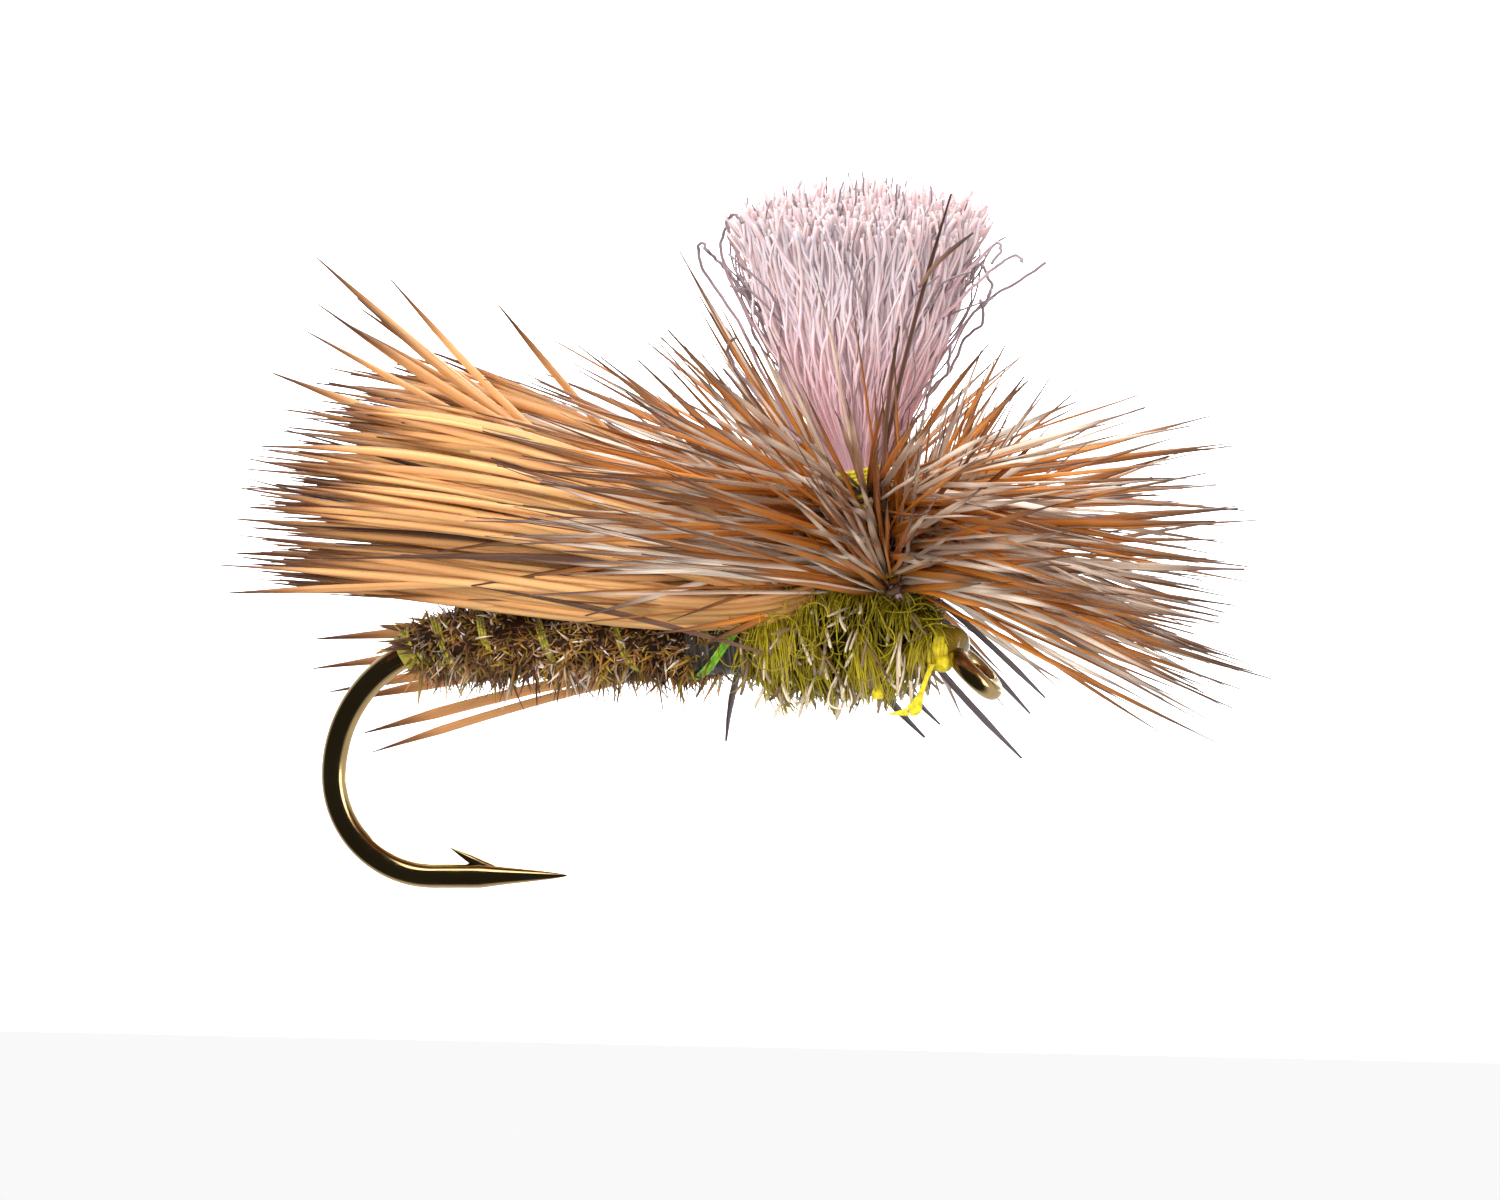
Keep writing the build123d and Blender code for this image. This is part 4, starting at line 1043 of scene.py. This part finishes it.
def build_abdomen():
    """A dark core under short flues of mixed colour, longer where they hang below."""
    rng, t, _ = seeded(44, 5)
    s = linspace(0.70, BODY_LENGTH, 140)
    centre, _, _ = body_frame(s)
    tubes("abdomen_core", centre[None], (body_r(s) - 0.10)[None], DARK_HERL, sides=40, node="abdomen")
    s0 = rng.uniform(0.35, BODY_LENGTH + 0.02, FLUES)
    a0 = rng.uniform(0, 2 * pi, FLUES)
    keep = (s0 > 0.95) | (rng.random(FLUES) < 0.35) | (cos(a0) > 0.3)
    s0, a0 = s0[keep], a0[keep]
    n = len(s0)
    root, out = round_body(s0, a0, body_r(s0) - 0.13)
    _, back, _ = body_frame(s0)
    heading = out * rng.uniform(0.35, 1.0, n)[:, None] + back * rng.normal(0.12, 0.35, n)[:, None]
    heading = unit(heading - 0.55 * Z * rng.random(n)[:, None] + rng.normal(0, 0.30, (n, 3)))
    length = rng.gamma(4.0, 0.062, n) * (0.85 + 0.75 * clip(-out[:, 2], 0, 1))
    paths = grown(rng, t, root, heading, length, 0.07)
    radii = thickness(rng, n, t, (0.022, 0.027, 0.005, 0.3, 0.45), 0.5, 1.4)
    region = 0.5 + 0.5 * sin(2.1 * s0 + 1.0 + 0.6 * sin(3 * a0))
    tone = clip(rng.beta(1.3, 1.3, n) * 0.75 + 0.25 * region, 0, 0.93)
    # About 9 % of the flues take the palest tones, a pale grey: painted glints.
    tone = where(rng.random(n) < 0.09, rng.uniform(0.90, 1.0, n), tone)
    tubes("abdomen_flue_fringe", paths, radii, DARK_HERL, tone, 4, node="abdomen_flues")
    build_herl_tips()
    build_quill()
    build_rib()


def build_herl_tips():
    """Dark pointed tips that lie back over the start of the bend."""
    rng, t, n = seeded(45, 8, HERL_TIPS)
    s0 = rng.uniform(BODY_LENGTH - 0.35, BODY_LENGTH, n)
    root, out = round_body(s0, rng.uniform(-0.8 * pi, 0.8 * pi, n), 0.42)
    _, back, _ = body_frame(s0)
    heading = unit(back + out * rng.uniform(0.1, 0.6, n)[:, None] + rng.normal(0, 0.15, (n, 3)))
    paths = grown(rng, t, root, heading, rng.uniform(0.4, 0.95, n))
    radii = thickness(rng, n, t, (0.045, 0.050, 0.006, 0.3, 0.4), 0.7, 1.3)
    tubes("herl_back_tips", paths, radii, DARK_HERL, rng.uniform(0.1, 0.5, n), 5, node="herl_tips")


def build_quill():
    """Bare flat quill wound in close turns between the abdomen and the thorax."""
    t = linspace(0, 1, 400)
    path, _ = round_body(1.15 * t - 0.05, -2 * pi * 4.2 * t, 0.58)
    side = broadcast_to(X, path.shape)[None]
    tubes("quill_winding", path[None], 0.17, QUILL, 0.5, 12, 0.35, side=side, node="quill_turns")


def build_rib():
    """Flat thread wound forward in open turns, a band of it at the rear and one slanted green turn."""
    turn = linspace(0, 5, 600)
    places = interp(turn, range(6), RIB_PLACES)
    lane = array([[-0.060], [0.0], [0.060]])
    buried = 0.075 + 0.05 * sin(-3.7 * 2 * pi * turn + 9 * lane)
    paths, out = round_body(places + lane, 0.45 * pi - 2 * pi * turn, body_r(places) - buried)
    tubes("abdomen_rib_thread", paths, 0.038, OLIVE_THREAD, flat=0.8, side=out, node="abdomen_rib")
    t = linspace(0, 1, 700)
    path, out = round_body(BODY_LENGTH - 0.10 + 0.34 * t, -2 * pi * 9 * t, 0.50 - 0.10 * t)
    tubes("rear_thread_band", path[None], 0.036, OLIVE_THREAD, flat=0.8, side=out[None], node="rear_tie_off")
    t = linspace(0, 1, 220)
    lane = 0.07 * arange(3)[:, None]
    paths, out = round_body(lane - 0.30 + 1.9 * t, pi * (0.15 + 1.24 * t), 0.70)
    tubes("green_thread_turn", paths, 0.042, GREEN_THREAD, flat=0.8, side=broadcast_to(out, paths.shape))


# ---- head
def coil(name, start, end, radius_from, radius_to, look, node, thread_r=0.045):
    """Close turns of thread round a straight axis between two points."""
    start, end = array(start, float), array(end, float)
    turns = np.linalg.norm(end - start) / (1.7 * thread_r)
    t = linspace(0, 1, int(turns * 28) + 2)
    a = 2 * pi * turns * t
    u, v = sideways(unit(end - start)[None])
    out = sin(a)[:, None] * u + cos(a)[:, None] * v
    r = radius_from + (radius_to - radius_from) * t
    path = start + (end - start) * t[:, None] + out * r[:, None]
    tubes(name, path[None], thread_r, look, sides=7, side=out[None], node=node)


def blob(name, centre, radii, bumps, look, rng, node=None, rows=23, columns=40):
    """A closed lump: a ball squeezed to three radii with soft bumps."""
    down = pi * arange(1, rows + 1) / (rows + 1)
    i, j = np.meshgrid(down, 2 * pi * arange(columns) / columns, indexing="ij")
    ball = stack([sin(i) * cos(j), sin(i) * sin(j), cos(i)], -1).reshape(-1, 3)
    ball = concatenate([[Z], ball, [-Z]])
    bump_ways = rng.normal(0, 3.0, (6, 3))
    swell = 1 + bumps * sin(ball @ bump_ways.T + rng.uniform(0, 6, 6)).mean(1)
    points = array(centre) + ball * swell[:, None] * array(radii)
    corner = 1 + arange(rows)[:, None] * columns + arange(columns + 1) % columns
    here, after = corner[:, :-1], corner[:, 1:]
    quads = stack([here[:-1], here[1:], after[1:], after[:-1]], -1).reshape(-1)
    top = stack([0 * here[0], here[0], after[0]], -1).reshape(-1)
    low = stack([0 * here[0] + len(points) - 1, after[-1], here[-1]], -1).reshape(-1)
    count = (rows - 1) * columns
    starts = concatenate([arange(count) * 4, count * 4 + arange(2 * columns) * 3])
    mesh_object(name, points, concatenate([quads, top, low]), starts, look, node=node)


def strip(name, line, widths, thin, side, node=None):
    """A flattened strand of yellow thread through a few points, as wide as stated at each."""
    t = linspace(0, 1, 40)
    path = through(line, t, times=3)
    width = spaced(widths, t)
    side = broadcast_to(array(side, float), path.shape)[None]
    tubes(name, path[None], width[None], YELLOW_THREAD, sides=10, flat=thin, side=side, node=node)


def build_head():
    """Every coil of thread, the cement and its knob, and the flattened thread ends below them."""
    rng = np.random.default_rng(71)
    tie_z = WING_TIE[2] - 0.45
    yellow, olive = YELLOW_THREAD, OLIVE_THREAD
    head = shank_at(head_low[0] + 0.3), shank_at(head_high[0])
    whip = shank_at(whip_low[0]), shank_at(whip_high[0] + 0.12)
    wing_tie = (tie_high[0], 0, tie_z), (tie_low[0], 0, tie_z)
    coil("head_thread", *head, 0.56, 0.42, yellow, "head_wraps")
    coil("whip_thread", *whip, 0.42, 0.33, yellow, "whip_finish")
    coil("wing_tie_thread", *wing_tie, 0.66, 0.66, olive, "wing_wraps")
    coil("post_thread", post_at(1.3), post_at(3.55), 0.55, 0.56, yellow, "post_wraps", 0.050)
    coil("tie_down_thread", post_at(1.12), post_at(1.32), 0.66, 0.64, yellow, "hackle_tie_down")
    blob("cement_collar", (-0.48, 0, 0.60), (0.33, 0.37, 0.33), 0.30, AMBER, rng, "head_cement")
    blob("thread_knob", (-0.62, -0.30, 0.20), (0.21, 0.17, 0.19), 0.22, yellow, rng)
    line = [
        (-0.80, -0.62, 0.22), (-0.90, -0.74, -0.06), (-1.02, -0.76, -0.42),
        (-1.14, -0.76, -0.70), (-1.34, -0.76, -0.78), (-1.70, -0.76, -0.82),
    ]
    strip("thread_end", line, [0.07, 0.05, 0.065, 0.16, 0.075, 0.012], 0.20, (0.9, 0, 0.35), "thread_tag")
    strip("thread_stub", [(-1.92, -0.80, -0.20), (-1.90, -0.84, -0.50)], [0.12, 0.12], 0.3, (1, 0, 0))


# ---- build everything
build_hook()
build_wing()
build_post()
build_hackle("brown_barbs", 61, BROWN, "hackle_barbs_brown")
build_hackle("grizzly_barbs", 62, CREAM, "hackle_barbs_grizzly")
build_far_barbs()
build_outline_barbs()
build_stems()
build_thorax()
build_abdomen()
build_head()

# The inner thread layer is the one CAD node that stays in sight, between the windings.
underbody_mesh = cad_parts["thread_underbody"].data
underbody_mesh.materials.clear()
underbody_mesh.materials.append(OLIVE_THREAD[0])

# ---- floor, light and camera
FLOOR_Z = -30.0
FLOOR_NEAR_Y = 160
FLOOR_FAR_Y = 620
WALL_CURVE_R = 120
WALL_TOP = 900
STAGE_RIGHT = 700
VIEW_CENTRE = array([-4.70, 0, 1.42])
VIEW_WIDTH = 31.05
SENSOR_WIDTH = 36.0
CAMERA_DISTANCE = 300.0
CAMERA_AZIMUTH = radians(9)
CAMERA_ELEVATION = radians(6)


def build_stage():
    """One pale sheet: flat under the fly and curved up behind it."""
    a = pi / 2 * arange(17) / 16
    curve = stack([FLOOR_FAR_Y + WALL_CURVE_R * sin(a), WALL_CURVE_R * (1 - cos(a))], -1)
    profile = [(FLOOR_NEAR_Y, 0), *curve, (FLOOR_FAR_Y + WALL_CURVE_R, WALL_TOP)]
    points = []
    for y, z in profile:
        left = -(34 + 0.26 * (y + 45))
        points += [(x * MM, y * MM, (FLOOR_Z + z) * MM) for x in (left, STAGE_RIGHT)]
    faces = [(2 * i, 2 * i + 1, 2 * i + 3, 2 * i + 2) for i in range(len(profile) - 1)]
    mesh = bpy.data.meshes.new("stage")
    mesh.from_pydata(points, [], faces)
    mesh.polygons.foreach_set("use_smooth", [True] * len(faces))
    mesh.materials.append(Nodes("stage_paper").finish(srgb(250, 250, 250), Roughness=0.9))
    sheet = bpy.data.objects.new("stage", mesh)
    bpy.context.scene.collection.objects.link(sheet)


def build_world():
    """White surroundings, dim on the camera's side and towards the bend. The camera sees pale paper."""
    n = Nodes("studio", bpy.data.worlds)
    bpy.context.scene.world = n.owner
    split = n.add("ShaderNodeSeparateXYZ")
    n.feed(n.add("ShaderNodeTexCoord").outputs["Generated"], split.inputs[0])
    fac = n.math("MULTIPLY_ADD", split.outputs["Y"], 0.42, 0.5)
    fac = n.math("MULTIPLY_ADD", split.outputs["X"], 0.16, fac)
    surroundings = n.tree.nodes["Background"]
    n.feed(n.ramp(fac, [(0.40, 0.035), (0.60, 1.0)]), surroundings.inputs["Color"])
    n.feed(0.9, surroundings.inputs["Strength"])
    paper = n.add("ShaderNodeBackground", Color=(0.95, 0.95, 0.95, 1))
    either = n.add("ShaderNodeMixShader")
    n.feed(n.add("ShaderNodeLightPath").outputs["Is Camera Ray"], either.inputs[0])
    n.feed(surroundings.outputs[0], either.inputs[1])
    n.feed(paper.outputs[0], either.inputs[2])
    n.feed(either.outputs[0], n.tree.nodes["World Output"].inputs["Surface"])


def area_light(name, place, size, power, shiny=True, target=(-4.7, 0, 2)):
    data = bpy.data.lights.new(name, "AREA")
    data.shape = "RECTANGLE"
    data.size, data.size_y = size[0] * MM, size[1] * MM
    data.energy = power
    light = bpy.data.objects.new(name, data)
    light.location = Vector(place) * MM
    light.rotation_euler = (Vector(target) * MM - light.location).to_track_quat("-Z", "Y").to_euler()
    light.visible_glossy = shiny
    bpy.context.scene.collection.objects.link(light)


def build_lights():
    """Soft boxes all round; the fills aren't mirrored in the wire."""
    area_light("key_softbox", (-50, -70, 220), (200, 120), 0.34)
    area_light("front_fill", (-80, -240, 120), (240, 200), 1.0, False)
    area_light("low_fill", (10, -230, -70), (260, 140), 0.45, False)
    area_light("top_softbox", (0, 10, 170), (160, 120), 0.12)
    area_light("left_softbox", (-180, -60, 40), (80, 160), 0.18, False)
    area_light("right_softbox", (170, -60, 40), (80, 160), 0.18)
    area_light("backdrop_light", (0, 420, 260), (360, 240), 5.0, target=(0, 520, -30))


def build_camera():
    data = bpy.data.cameras.new("camera")
    data.sensor_width = SENSOR_WIDTH
    data.lens = SENSOR_WIDTH * CAMERA_DISTANCE / VIEW_WIDTH
    data.clip_start, data.clip_end = 0.01, 5.0
    camera = bpy.data.objects.new("camera", data)
    bpy.context.scene.collection.objects.link(camera)
    away = array([
        sin(CAMERA_AZIMUTH) * cos(CAMERA_ELEVATION),
        -cos(CAMERA_AZIMUTH) * cos(CAMERA_ELEVATION),
        sin(CAMERA_ELEVATION),
    ])
    camera.location = Vector((VIEW_CENTRE + away * CAMERA_DISTANCE) * MM)
    camera.rotation_euler = Vector(-away).to_track_quat("-Z", "Y").to_euler()
    bpy.context.scene.camera = camera
    bpy.context.scene.view_settings.view_transform = "Standard"


build_stage()
build_world()
build_lights()
build_camera()
